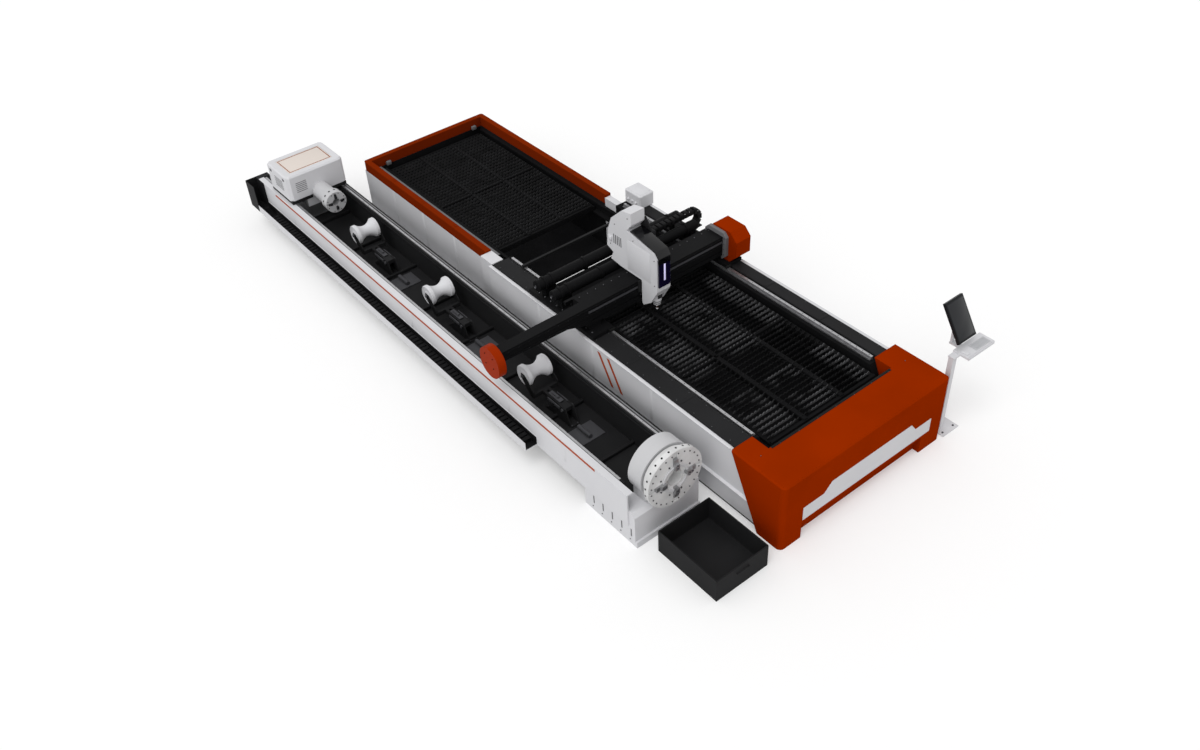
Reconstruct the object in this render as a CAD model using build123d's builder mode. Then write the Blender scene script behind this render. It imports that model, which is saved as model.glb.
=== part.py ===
"""Flat bed and tube laser cutting machine with a shuttle table, in millimetres, +Z up.

The layout is measured from the left face (x = 0) and the front face (y = 0) of the
front casing. level, section and elevation place every sketch, and shift the layout
so that the part's origin lies at the middle of its footprint, on the floor.
"""
from build123d import *
import math
import os

os.makedirs("parts", exist_ok=True)

# Front casing
casing_width = 2800
casing_depth = 835
casing_foot_depth = 370
casing_height = 1005
casing_bridge_depth = 575
casing_arm_left = 330
casing_arm_right = 400
casing_corner_radius = 70
casing_edge_chamfer = 20
casing_kick_height = 250
casing_kick_depth = 90
inlay_left = 335
inlay_right_margin = 262
inlay_bottom = 290
inlay_low_top = 492
inlay_high_top = 612
inlay_step_start = 670
inlay_step_end = 790
inlay_right_step = 640
inlay_right_slope = 90
inlay_pocket = 8
inlay_proud = 4

# Main bed
bed_rear = 5660
wall_top = 960
tunnel_left = 420
tunnel_right_margin = 500
bed_floor = 120
panel_inset = 30
panel_thickness = 40
right_panel_margin = 100
right_panel_thickness = 60
panel_bottom = 60
panel_top = 975
ledge_height = 400
ledge_depth = 35
cover_height = 40
cover_rear = 5600
left_cover_width = 258
right_cover_margin = 350
right_cover_width = 188
rail_height = 50
rail_width = 35
rail_left_x = 362
rail_right_margin = 412
rail_front = 860
rail_rear = 5560
stripe_width = 46
stripe_thickness = 4
stripe_lean = 250
stripe_low = 500
stripe_high = 926
stripe_places = (2970, 2785)
cross_bar_y = 5265
cross_bar_size = 36
drive_box_length = 350
drive_box_width = 270
drive_box_height = 200
drive_box_y = 5465

# Exchange table
exchange_gap = 280
exchange_overrun = 350
exchange_left = 170
exchange_right_margin = 370
exchange_rear_wall = 100
exchange_wall_top = 840
skirt_thickness = 15
rim_height = 160
rim_width = 90
corner_block_left = 80
corner_block_width = 190
corner_block_bottom = 100

# Pallets and their two levels of track
pallet_length = 3060
pallet_front = 660
pallet_exchange_gap = 170
pallet_side_gap = 20
runner_width = 30
runner_height = 20
frame_bar = 60
frame_height = 65
slat_height = 45
slat_thickness = 8
slat_pitch = 80
upper_level = 840
lower_level = 700
track_web = 8
track_shelf = 25
upper_shelf_width = 32
lower_shelf_width = 80
track_front = 700
track_rear_margin = 170
seat_gap = 0.3

# Tube bed
tube_axis_x = -660
tube_axis_z = 860
tube_left = -1200
tube_right = -200
tube_bed_front = 1420
tube_bed_rear = 10390
tube_bed_bottom = 300
tube_bed_top = 760
tube_wall_left = 120
tube_wall_right = 120
tube_floor = 40
tube_leg_height = 300
tube_leg_length = 200
tube_leg_first = 3600
tube_leg_last_margin = 290
tube_leg_count = 4
tie_height = 200
side_cover_thickness = 20
side_cover_front = 1230
rim_flange = 70
tube_stripe_front = 1800
tube_stripe_margin = 590
tube_rail_height = 25
tube_rail_width = 30
trough_width = 180
trough_bottom = 330
trough_top = 450
trough_wall = 6
trough_front = 2950
trough_gap = 5
chain_width = 130
chain_height = 70
chain_front = 3020
chain_rear_margin = 490
chain_pitch = 360
chain_notch = 36
guard_reach = 110
guard_lap = 185
guard_right = -1000
guard_wall = 8
pedestal_front = 1130
pedestal_rear = 2050
pedestal_top = 520
plinth_reach = 30
plinth_height = 90

# Chucks
chuck_radius = 400
chuck_front = 1030
chuck_disc = 70
chuck_neck_radius = 335
chuck_bore = 110
hub_radius = 150
hub_gap = 0.3
housing_front = 1200
housing_rear = 1420
housing_radius = 362
jaw_width = 64
jaw_length = 140
jaw_inner = 150
jaw_proud = 45
jaw_slot = 20
jaw_gap = 0.4
rear_box_length = 700
rear_box_margin = 410
rear_box_left = -1160
rear_box_right = -200
rear_box_bottom = 840
rear_box_top = 1250
rear_box_chamfer = 45
rear_keel_half = 240
rear_keel_bottom = 640
nose_radius = 140
nose_length = 350
nose_face_radius = 170
nose_face_depth = 150
nose_hub_depth = 220
nose_bore = 60
nose_jaw_length = 60
nose_jaw_width = 34
nose_jaw_inner = 70
nose_jaw_proud = 25
nose_jaw_slot = 14

# Tube supports
support_first = 3680
support_last_gap = 840
support_shares = (0, 0.528, 1)
roller_height = 750
roller_length = 360
roller_end_radius = 145
roller_waist_radius = 80
roller_waist_half = 110
axle_radius = 15
arm_reach = 640
pivot_height = 540
arm_thickness = 60
arm_width = 110
prong_thickness = 10
cheek_thickness = 14
pivot_radius = 16

# Scrap bin
bin_left = -1020
bin_right = -240
bin_front = -40
bin_rear = 920
bin_height = 330
bin_wall = 12

# Gantry
beam_front = 3500
beam_depth = 280
beam_bottom = 1150
beam_top = 1440
beam_left = 80
beam_right_margin = 360
arm_left = -1240
arm_depth = 160
arm_root_bottom = 1270
arm_tip_bottom = 1300
arm_root_x = -230
groove_height = 34
groove_depth = 14
x_rail_height = 16
x_rail_proud = 12
x_rail_low = 1318
x_rail_high = 1412
x_rail_left = -1180
x_rail_margin = 64
cap_width = 400
cap_height = 430
cap_thickness = 110
cap_centre_z = 1315
end_width = 287
end_front = 3290
end_depth = 560
end_top = 1530
end_chamfer = 120
ring_thickness = 50
ring_border = 62
carriage_gap = 0.3
carriage_plate = 50
carriage_left_inner = 400
carriage_left_outer = 60
carriage_right_inner_margin = 450
carriage_right_outer_margin = 160
carriage_front = 3380
carriage_left_rear = 4750
carriage_right_rear = 4640
tube_one_y = 4500
tube_one_z = 1260
tube_one_radius = 80
tube_two_y = 4150
tube_two_z = 1290
tube_two_radius = 75
fin_y = 3900
fin_height = 50
fin_width = 40
fin_bottom = 1290
bars_left = 30
bars_right_margin = 320
pad_length = 90
pad_left_start = 130
pad_left_end = 300
pad_inset = 15
pad_width = 20
tray_left = 1150
tray_thickness = 15
tray_bottom = 1120
x_chain_width = 100
x_chain_y = 4290
x_chain_radius = 155
x_chain_link = 80
x_chain_margin = 250
x_chain_head_end = 1180
x_chain_pitch = 150
x_chain_turn_links = 4
x_chain_notch = 15

# Cutting head
head_left = 950
head_width = 220
head_back = 3470
head_front = 3170
head_chin = 1420
head_brow = 1920
brow_back = 3225
brow_top = 1985
slope_back = 3740
slope_top = 2075
crest_front = 3650
crest_foot = 2190
crest_top = 2360
crest_back = 3840
crest_back_top = 2320
shoulder_y = 4050
shoulder_z = 2120
nape_y = 4120
nape_z = 1930
head_rear = 4150
head_rear_z = 1660
tail_y = 4030
tail_z = 1610
tail_foot_y = 4080
tail_foot_rise = 25
tail_under_y = 3880
keel_z = 1085
head_panel_inset = 18
head_panel_thickness = 20
head_panel_share = 0.916
pocket_width = 150
pocket_front = 3235
pocket_depth = 150
pocket_top = 1950
head_radius = 60
head_centre_y = 3310
nozzle_tip = 1040
nozzle_radius = 16
collar_radius = 50
collar_bottom = 1130
head_body_bottom = 1190
head_body_top = 1780
backplate_thickness = 18
motor_radius = 72
motor_length = 140

# Console
post_margin = 140
post_y = 120
post_size = 70
post_top = 1150
console_base = 300
console_base_thickness = 12
anchor_spacing = 200
anchor_radius = 7
swivel_thickness = 20
tray_reach = 60
tray_front = -60
tray_depth = 230
tray_width = 500
tray_thickness_console = 30
screen_width = 320
screen_height = 530
screen_thickness = 38
screen_tilt = 33
hinge_radius = 7
screen_centre_y = 245
screen_centre_z = 1552

# Worked-out places
bar_gap = 0.3
right_panel_outer = casing_width - right_panel_margin
tunnel_right = casing_width - tunnel_right_margin
right_cover_left = casing_width - right_cover_margin
right_cover_right = right_cover_left + right_cover_width
rail_right_x = casing_width - rail_right_margin
exchange_right = casing_width - exchange_right_margin
beam_right = casing_width - beam_right_margin
x_rail_right = beam_right - x_rail_margin
carriage_right_inner = casing_width - carriage_right_inner_margin
carriage_right_outer = casing_width - carriage_right_outer_margin
bars_right = casing_width - bars_right_margin
x_chain_centre_x = casing_width - x_chain_margin
post_x = casing_width + post_margin
tray_x = post_x + tray_reach
tray_right = tray_x + tray_width
guard_front = tube_bed_rear - guard_lap
guard_rear = tube_bed_rear + guard_reach
trough_rear = guard_front - trough_gap
chain_rear = tube_bed_rear - chain_rear_margin
rear_box_rear = tube_bed_rear - rear_box_margin
rear_box_front = rear_box_rear - rear_box_length
nose_front = rear_box_front - nose_length
nose_back = nose_front - nose_face_depth
support_last = nose_back - support_last_gap
support_places = [
    support_first + share * (support_last - support_first) for share in support_shares
]
footprint_left = tube_left - trough_width
middle_x = (footprint_left + tray_right) / 2
middle_y = (tray_front + guard_rear) / 2
slope = (casing_depth - casing_foot_depth) / casing_height
exchange_front = bed_rear + exchange_gap
exchange_rear = exchange_front + pallet_length + exchange_overrun
pallet_exchange_front = exchange_front + pallet_exchange_gap
track_rear = exchange_rear - track_rear_margin
left_wall_x = panel_inset + panel_thickness
right_wall_x = right_panel_outer - right_panel_thickness
deck_top = wall_top + cover_height
rail_top = wall_top + rail_height
pallet_left = tunnel_left + pallet_side_gap
pallet_right = tunnel_right - pallet_side_gap
head_right = head_left + head_width
head_middle = head_left + head_width / 2
carriage_bottom = rail_top + carriage_gap
carriage_top = carriage_bottom + carriage_plate


def level(height):
    """A plan plane at a height above the floor."""
    return Plane(origin=(-middle_x, -middle_y, height))


def section(x):
    """A side plane at x: its own axes are the layout's Y and Z, and it faces +X."""
    return Plane(origin=(x - middle_x, -middle_y, 0), x_dir=(0, 1, 0), z_dir=(1, 0, 0))


def elevation(y):
    """A front plane at y: its own axes are the layout's X and Z, and it faces -Y."""
    return Plane(origin=(-middle_x, y - middle_y, 0), x_dir=(1, 0, 0), z_dir=(0, -1, 0))


def block(x_low, x_high, y_low, y_high, z_low, z_high, mode=Mode.ADD):
    """A square block added to, or cut from, the open part."""
    with BuildSketch(level(z_low)) as footprint:
        with Locations(((x_low + x_high) / 2, (y_low + y_high) / 2)):
            Rectangle(x_high - x_low, y_high - y_low)
    extrude(footprint.sketch, amount=z_high - z_low, mode=mode)


def side_profile(points, x_low, x_high, mode=Mode.ADD):
    """A closed outline in Y and Z, extruded from x_low to x_high."""
    with BuildSketch(section(x_low)) as outline:
        with BuildLine():
            Polyline(*points, close=True)
        make_face()
    extrude(outline.sketch, amount=x_high - x_low, mode=mode)


def front_profile(points, y_low, y_high, mode=Mode.ADD):
    """A closed outline in X and Z, extruded from y_high forward to y_low."""
    with BuildSketch(elevation(y_high)) as outline:
        with BuildLine():
            Polyline(*points, close=True)
        make_face()
    extrude(outline.sketch, amount=y_high - y_low, mode=mode)


def cylinder_y(x, z, radius, y_low, y_high, mode=Mode.ADD):
    """A round bar or bore along Y."""
    with BuildSketch(elevation(y_high)) as disc:
        with Locations((x, z)):
            Circle(radius)
    extrude(disc.sketch, amount=y_high - y_low, mode=mode)


def cylinder_x(y, z, radius, x_low, x_high, mode=Mode.ADD):
    """A round bar or bore along X."""
    with BuildSketch(section(x_low)) as disc:
        with Locations((y, z)):
            Circle(radius)
    extrude(disc.sketch, amount=x_high - x_low, mode=mode)


def slant_y(height):
    """Depth of the casing's leaning rear edge at a height."""
    return casing_foot_depth + slope * height


def trim_front(x_low, x_high, top):
    """Cut everything in front of the casing's leaning rear edge."""
    reach = 200
    points = [
        (slant_y(-reach), -reach),
        (slant_y(top + reach), top + reach),
        (-reach, top + reach),
        (-reach, -reach),
    ]
    side_profile(points, x_low - reach, x_high + reach, mode=Mode.SUBTRACT)


def save(part, label):
    """Name a finished piece and write it."""
    part.label = label
    export_step(part, f"parts/{label}.step")


# Front casing: a folded steel hood with two side arms and a leaning rear edge
with BuildPart() as front_casing:
    side_profile(
        [(0, 0), (slant_y(0), 0), (casing_depth, casing_height), (0, casing_height)], 0, casing_width
    )
    fillet(front_casing.edges().filter_by(Axis.Z), radius=casing_corner_radius)
    front_top = front_casing.faces().sort_by(Axis.Z)[-1].edges().sort_by(Axis.Y)[0]
    chamfer(front_top, length=casing_edge_chamfer)
    block(
        casing_arm_left, casing_width - casing_arm_right,
        casing_bridge_depth, casing_depth + 1, -1, casing_height + 1, mode=Mode.SUBTRACT,
    )
    block(
        casing_arm_left, casing_width - casing_arm_right,
        -1, casing_kick_depth, -1, casing_kick_height, mode=Mode.SUBTRACT,
    )
    inlay_right = casing_width - inlay_right_margin
    inlay_points = [
        (inlay_left, inlay_bottom),
        (inlay_right, inlay_bottom),
        (inlay_right, inlay_low_top),
        (casing_width - inlay_right_step + inlay_right_slope, inlay_low_top),
        (casing_width - inlay_right_step, inlay_high_top),
        (inlay_step_end, inlay_high_top),
        (inlay_step_start, inlay_low_top),
        (inlay_left, inlay_low_top),
    ]
    front_profile(inlay_points, -1, inlay_pocket, mode=Mode.SUBTRACT)
save(front_casing.part, "front_casing")

# Pale plate let into the casing's front
with BuildPart() as casing_inlay:
    front_profile(inlay_points, -inlay_proud, inlay_pocket)
save(casing_inlay.part, "casing_inlay")

# Welded bed: two box walls joined by a floor, open above for the pallets
with BuildPart() as bed_frame:
    block(left_wall_x, right_wall_x, casing_foot_depth, bed_rear, 0, wall_top)
    block(
        tunnel_left, tunnel_right, casing_foot_depth - 1, bed_rear + 1,
        bed_floor, wall_top + 1, mode=Mode.SUBTRACT,
    )
    trim_front(left_wall_x, right_wall_x, wall_top)
save(bed_frame.part, "bed_frame")

# Pale sheet down the left side, with its long drip ledge
with BuildPart() as side_panel_left:
    front_profile(
        [
            (left_wall_x, panel_bottom),
            (panel_inset + 15, panel_bottom),
            (panel_inset + 15, ledge_height - 15),
            (panel_inset - ledge_depth, ledge_height - 15),
            (panel_inset - ledge_depth, ledge_height),
            (panel_inset, ledge_height + 10),
            (panel_inset, panel_top),
            (left_wall_x, panel_top),
        ],
        casing_foot_depth, bed_rear,
    )
    trim_front(panel_inset - ledge_depth, left_wall_x, panel_top)
save(side_panel_left.part, "side_panel_left")

# Pale sheet down the right side
with BuildPart() as side_panel_right:
    block(right_wall_x, right_panel_outer, casing_foot_depth, bed_rear, panel_bottom, panel_top)
    trim_front(right_wall_x, right_panel_outer, panel_top)
save(side_panel_right.part, "side_panel_right")

# Copper strips: two leaning ones on the bed's side, one along the tube bed
with BuildPart() as side_stripes:
    for stripe_y in stripe_places:
        side_profile(
            [
                (stripe_y, stripe_low),
                (stripe_y + stripe_width, stripe_low),
                (stripe_y + stripe_width + stripe_lean, stripe_high),
                (stripe_y + stripe_lean, stripe_high),
            ],
            panel_inset - stripe_thickness, panel_inset,
        )
    block(
        tube_left - stripe_thickness, tube_left, tube_stripe_front, tube_bed_rear - tube_stripe_margin,
        tube_bed_top - 30, tube_bed_top,
    )
save(side_stripes.part, "side_stripes")

# Folded covers over both walls of the bed
with BuildPart() as deck_covers:
    cover_left = left_wall_x + 2
    block(cover_left, cover_left + left_cover_width, casing_depth + 1, cover_rear, wall_top, deck_top)
    block(right_cover_left, right_cover_right, casing_depth + 1, cover_rear, wall_top, deck_top)
    chamfer(deck_covers.faces().group_by(Axis.Z)[-1].edges().filter_by(Axis.Y), length=8)
save(deck_covers.part, "deck_covers")

# Hardened rails: two for the gantry, two for the rear chuck's carriage
tube_rail_places = (
    tube_left + side_cover_thickness + tube_wall_left - tube_rail_width,
    tube_right - tube_wall_right + tube_rail_width,
)
with BuildPart() as linear_rails:
    for rail_x in (rail_left_x, rail_right_x):
        block(
            rail_x - rail_width / 2, rail_x + rail_width / 2, rail_front, rail_rear, wall_top, rail_top
        )
    for rail_x in tube_rail_places:
        block(
            rail_x - tube_rail_width / 2, rail_x + tube_rail_width / 2,
            tube_bed_front + 60, tube_bed_rear - 40, tube_bed_top, tube_bed_top + tube_rail_height,
        )
save(linear_rails.part, "linear_rails")

# Blocks that tie the bed to the exchange table on both sides of the pallet way
with BuildPart() as corner_blocks:
    block(
        corner_block_left, corner_block_left + corner_block_width, bed_rear, exchange_front,
        corner_block_bottom, panel_top,
    )
    block(
        tunnel_right + pallet_side_gap, exchange_right - 10, bed_rear, exchange_front,
        corner_block_bottom, wall_top,
    )
save(corner_blocks.part, "corner_blocks")

# Junction box at the rear right of the bed
with BuildPart() as drive_box:
    block(
        right_cover_left + 8, right_cover_left + 8 + drive_box_width,
        drive_box_y - drive_box_length / 2, drive_box_y + drive_box_length / 2,
        deck_top, deck_top + drive_box_height,
    )
    chamfer(drive_box.edges().filter_by(Axis.Z), length=20)
    chamfer(drive_box.faces().sort_by(Axis.Z)[-1].edges(), length=12)
save(drive_box.part, "drive_box")

# Slim bar across the rear of the bed, above the pallets
with BuildPart() as rear_cross_bar:
    block(
        rail_left_x - rail_width, rail_right_x + rail_width,
        cross_bar_y - cross_bar_size / 2, cross_bar_y + cross_bar_size / 2,
        rail_top, rail_top + cross_bar_size,
    )
save(rear_cross_bar.part, "rear_cross_bar")

# Exchange table: a welded pit, open above and towards the bed
with BuildPart() as exchange_frame:
    block(
        exchange_left + skirt_thickness, exchange_right - skirt_thickness,
        exchange_front, exchange_rear - skirt_thickness, 0, exchange_wall_top,
    )
    block(
        tunnel_left, tunnel_right, exchange_front - 1, exchange_rear - exchange_rear_wall,
        bed_floor, exchange_wall_top + 1, mode=Mode.SUBTRACT,
    )
save(exchange_frame.part, "exchange_frame")

# Pale skirt round three sides of the exchange table
with BuildPart() as exchange_skirt:
    block(exchange_left, exchange_right, exchange_front, exchange_rear, 0, exchange_wall_top)
    block(
        exchange_left + skirt_thickness, exchange_right - skirt_thickness,
        exchange_front - 1, exchange_rear - skirt_thickness, -1, exchange_wall_top + 1,
        mode=Mode.SUBTRACT,
    )
save(exchange_skirt.part, "exchange_skirt")

# Coloured rim on top of the exchange table
with BuildPart() as exchange_rim:
    block(
        exchange_left, exchange_right, exchange_front, exchange_rear,
        exchange_wall_top, exchange_wall_top + rim_height,
    )
    block(
        exchange_left + rim_width, exchange_right - rim_width,
        exchange_front - 1, exchange_rear - rim_width,
        exchange_wall_top - 1, exchange_wall_top + rim_height + 1, mode=Mode.SUBTRACT,
    )
    rim_corners = exchange_rim.edges().filter_by(Axis.Z).group_by(Axis.Y)[-1]
    fillet(rim_corners, radius=40)
save(exchange_rim.part, "exchange_rim")

# Two-level track: an angle web with a shelf for each pallet, on both sides
with BuildPart() as pallet_tracks:
    for side, wall_x in ((1, tunnel_left), (-1, tunnel_right)):
        web_x = wall_x + side * track_web
        low_x = web_x + side * lower_shelf_width
        high_x = web_x + side * upper_shelf_width
        low_z = lower_level - seat_gap
        high_z = upper_level - seat_gap
        front_profile(
            [
                (wall_x, low_z - track_shelf),
                (low_x, low_z - track_shelf),
                (low_x, low_z),
                (web_x, low_z),
                (web_x, high_z - track_shelf),
                (high_x, high_z - track_shelf),
                (high_x, high_z),
                (wall_x, high_z),
            ],
            track_front, track_rear,
        )
save(pallet_tracks.part, "pallet_tracks")


def pallet_frame(front, bottom, runner_bottom, runner_reach):
    """A welded pallet: side bars, two inner long bars, cross bars and side runners."""
    left = pallet_left + runner_width
    right = pallet_right - runner_width
    cell_width = (right - left - 4 * frame_bar) / 3
    cell_length = (pallet_length - 3 * frame_bar) / 2
    with BuildPart() as frame:
        block(left, right, front, front + pallet_length, bottom, bottom + frame_height)
        with BuildSketch(level(bottom)) as cells:
            with Locations(((left + right) / 2, front + pallet_length / 2)):
                with GridLocations(cell_width + frame_bar, cell_length + frame_bar, 3, 2):
                    Rectangle(cell_width, cell_length)
        extrude(cells.sketch, amount=frame_height, mode=Mode.SUBTRACT)
        for runner_x in (left - runner_reach, right):
            if runner_reach:
                block(
                    runner_x, runner_x + runner_reach, front, front + pallet_length,
                    runner_bottom, runner_bottom + runner_height,
                )
    return frame.part


def pallet_slats(front, bottom):
    """Upright support slats laid across a pallet."""
    left = pallet_left + runner_width + frame_bar / 3
    right = pallet_right - runner_width - frame_bar / 3
    count = int((pallet_length - 2 * frame_bar) / slat_pitch) + 1
    first = front + (pallet_length - (count - 1) * slat_pitch) / 2
    with BuildPart() as slats:
        with BuildSketch(level(bottom)) as footprints:
            for index in range(count):
                with Locations(((left + right) / 2, first + index * slat_pitch)):
                    Rectangle(right - left, slat_thickness)
        extrude(footprints.sketch, amount=slat_height)
    return slats.part


# Pallet in the bed, on the upper track, with its slats
save(pallet_frame(pallet_front, upper_level, upper_level, runner_width), "pallet_frame_a")
save(pallet_slats(pallet_front, upper_level + frame_height), "pallet_slats_a")

# Pallet in the exchange table, on the lower track, with its slats
save(pallet_frame(pallet_exchange_front, lower_level, lower_level, 0), "pallet_frame_b")
save(pallet_slats(pallet_exchange_front, lower_level + frame_height), "pallet_slats_b")

# Tube bed: a long welded channel on legs, tied to the main bed low down
with BuildPart() as tube_bed:
    channel_left = tube_left + side_cover_thickness
    block(channel_left, tube_right, tube_bed_front, tube_bed_rear, tube_bed_bottom, tube_bed_top)
    block(
        channel_left + tube_wall_left, tube_right - tube_wall_right,
        tube_bed_front - 1, tube_bed_rear - 100,
        tube_bed_bottom + tube_floor, tube_bed_top + 1, mode=Mode.SUBTRACT,
    )
    leg_pitch = (tube_bed_rear - tube_leg_last_margin - tube_leg_first) / (tube_leg_count - 1)
    for leg in range(tube_leg_count):
        leg_y = tube_leg_first + leg * leg_pitch
        block(
            channel_left + 40, tube_right - 40, leg_y - tube_leg_length / 2, leg_y + tube_leg_length / 2,
            0, tube_leg_height,
        )
    block(
        tube_right - 60, panel_inset + 15, tube_leg_first - tube_leg_length / 4,
        tube_leg_first + tube_leg_length / 4, panel_bottom, tie_height,
    )
save(tube_bed.part, "tube_bed")

# Pale folded cover on the tube bed's outer side and rim
with BuildPart() as tube_side_cover:
    rim_top = tube_bed_top + side_cover_thickness
    front_profile(
        [
            (tube_left, tube_bed_bottom),
            (tube_left + side_cover_thickness, tube_bed_bottom),
            (tube_left + side_cover_thickness, tube_bed_top),
            (tube_left + side_cover_thickness + rim_flange, tube_bed_top),
            (tube_left + side_cover_thickness + rim_flange, rim_top),
            (tube_left, rim_top),
        ],
        side_cover_front, tube_bed_rear,
    )
save(tube_side_cover.part, "tube_side_cover")

# Open trough for the rear carriage's drag chain
with BuildPart() as chain_trough:
    trough_left = tube_left - trough_width
    front_profile(
        [
            (trough_left, trough_bottom),
            (tube_left, trough_bottom),
            (tube_left, trough_top),
            (tube_left - trough_wall, trough_top),
            (tube_left - trough_wall, trough_bottom + trough_wall),
            (trough_left + trough_wall, trough_bottom + trough_wall),
            (trough_left + trough_wall, trough_top),
            (trough_left, trough_top),
        ],
        trough_front, trough_rear,
    )
save(chain_trough.part, "chain_trough")

# Drag chain lying in the trough, its links cut across the top
with BuildPart() as side_chain:
    chain_x = tube_left - trough_width / 2
    chain_bottom = trough_bottom + trough_wall
    block(
        chain_x - chain_width / 2, chain_x + chain_width / 2, chain_front, chain_rear,
        chain_bottom, chain_bottom + chain_height,
    )
    link_count = int((chain_rear - chain_front) / chain_pitch) - 1
    with BuildSketch(level(chain_bottom + chain_height)) as gaps:
        with Locations((chain_x, (chain_front + chain_rear) / 2)):
            with GridLocations(chain_width, chain_pitch, 1, link_count):
                Rectangle(chain_width, chain_notch)
    extrude(gaps.sketch, amount=-chain_height / 3, mode=Mode.SUBTRACT)
save(side_chain.part, "side_chain")

# Guard where the chain turns in at the rear of the tube bed
with BuildPart() as rear_chain_guard:
    block(trough_left, tube_left, guard_front, guard_rear, trough_bottom, rim_top)
    block(trough_left, guard_right, tube_bed_rear, guard_rear, trough_bottom, rim_top)
    block(
        trough_left + guard_wall, tube_left - guard_wall, guard_front - 1, guard_rear - guard_wall,
        trough_bottom + guard_wall, rim_top + 1, mode=Mode.SUBTRACT,
    )
save(rear_chain_guard.part, "rear_chain_guard")

# Pale pedestal under the front chuck, down to the floor
with BuildPart() as front_base:
    side_profile(
        [
            (pedestal_front - plinth_reach, 0),
            (pedestal_rear, 0),
            (pedestal_rear, tube_bed_bottom),
            (housing_rear, tube_bed_bottom),
            (housing_rear, pedestal_top),
            (housing_front - 20, pedestal_top),
            (pedestal_front, pedestal_top - 50),
            (pedestal_front, plinth_height),
            (pedestal_front - plinth_reach, plinth_height),
        ],
        tube_left + side_cover_thickness, tube_right - 10,
    )
save(front_base.part, "front_base")

# Fixed ring of the front chuck, on its saddle, bored for the turning hub
with BuildPart() as front_chuck_housing:
    cylinder_y(tube_axis_x, tube_axis_z, housing_radius, housing_front, housing_rear)
    block(
        tube_axis_x - housing_radius * 0.8, tube_axis_x + housing_radius * 0.8,
        housing_front, housing_rear, pedestal_top, tube_axis_z,
    )
    saddle_under = pedestal_top - 400
    block(
        tube_axis_x - housing_radius - 1, tube_axis_x + housing_radius + 1,
        housing_front - 1, housing_rear + 1, saddle_under, pedestal_top, mode=Mode.SUBTRACT,
    )
    cylinder_y(
        tube_axis_x, tube_axis_z, hub_radius + hub_gap, housing_front - 1, housing_rear + 1,
        mode=Mode.SUBTRACT,
    )
save(front_chuck_housing.part, "front_chuck_housing")


def chuck_slots(front, slot_depth, slot_width, slot_start, slot_end):
    """Four radial slots cut back from a chuck's front face."""
    with BuildSketch(elevation(front + slot_depth)) as slots:
        with Locations((tube_axis_x, tube_axis_z)):
            with PolarLocations((slot_start + slot_end) / 2, 4):
                Rectangle(slot_end - slot_start, slot_width)
    extrude(slots.sketch, amount=slot_depth, mode=Mode.SUBTRACT)


def chuck_jaw(index, face, slot_depth, proud, width, inner, length):
    """One jaw of a chuck: a stepped block that rides in its radial slot."""
    turn = 90 * index
    jaw_plane = elevation(face + slot_depth - seat_gap)
    centre = (tube_axis_x, tube_axis_z)
    with BuildPart() as jaw:
        with BuildSketch(jaw_plane) as foot:
            with Locations(Location(centre, turn)):
                with Locations((inner + length / 2, 0)):
                    Rectangle(length, width)
        extrude(foot.sketch, amount=slot_depth + proud - seat_gap)
        with BuildSketch(elevation(face - proud * 0.45)) as step:
            with Locations(Location(centre, turn)):
                with Locations((inner + length * 0.8, 0)):
                    Rectangle(length * 0.5, width + 2)
        extrude(step.sketch, amount=proud, mode=Mode.SUBTRACT)
    return jaw.part


# Turning part of the front chuck: slotted disc, neck and hub with the tube's bore
with BuildPart() as front_chuck:
    cylinder_y(tube_axis_x, tube_axis_z, chuck_radius, chuck_front, chuck_front + chuck_disc)
    cylinder_y(
        tube_axis_x, tube_axis_z, chuck_neck_radius, chuck_front + chuck_disc, housing_front - 15
    )
    cylinder_y(tube_axis_x, tube_axis_z, hub_radius, housing_front - 15, housing_rear - 10)
    cylinder_y(
        tube_axis_x, tube_axis_z, chuck_bore, chuck_front - 1, housing_rear, mode=Mode.SUBTRACT
    )
    chuck_slots(
        chuck_front, jaw_slot, jaw_width + 2 * jaw_gap, chuck_bore - 20, chuck_radius - 20
    )
save(front_chuck.part, "front_chuck")

for jaw_index in range(4):
    jaw_part = chuck_jaw(
        jaw_index, chuck_front, jaw_slot, jaw_proud, jaw_width, jaw_inner, jaw_length
    )
    save(jaw_part, f"front_jaw_{jaw_index + 1}")

# Carriage plate of the rear chuck, riding on both tube rails
with BuildPart() as rear_chuck_base:
    base_bottom = tube_bed_top + tube_rail_height + seat_gap
    block(
        rear_box_left + 10, rear_box_right - 20, rear_box_front, rear_box_rear - 20,
        base_bottom, rear_box_bottom,
    )
    block(
        tube_axis_x - rear_keel_half - seat_gap, tube_axis_x + rear_keel_half + seat_gap,
        rear_box_front + 20 - seat_gap, rear_box_rear - 80 + seat_gap,
        base_bottom - 1, rear_box_bottom + 1, mode=Mode.SUBTRACT,
    )
    block(
        tube_axis_x - nose_radius - 5, tube_axis_x + nose_radius + 5,
        rear_box_front - 1, rear_box_front + 20,
        base_bottom - 1, rear_box_bottom + 1, mode=Mode.SUBTRACT,
    )
save(rear_chuck_base.part, "rear_chuck_base")

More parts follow.
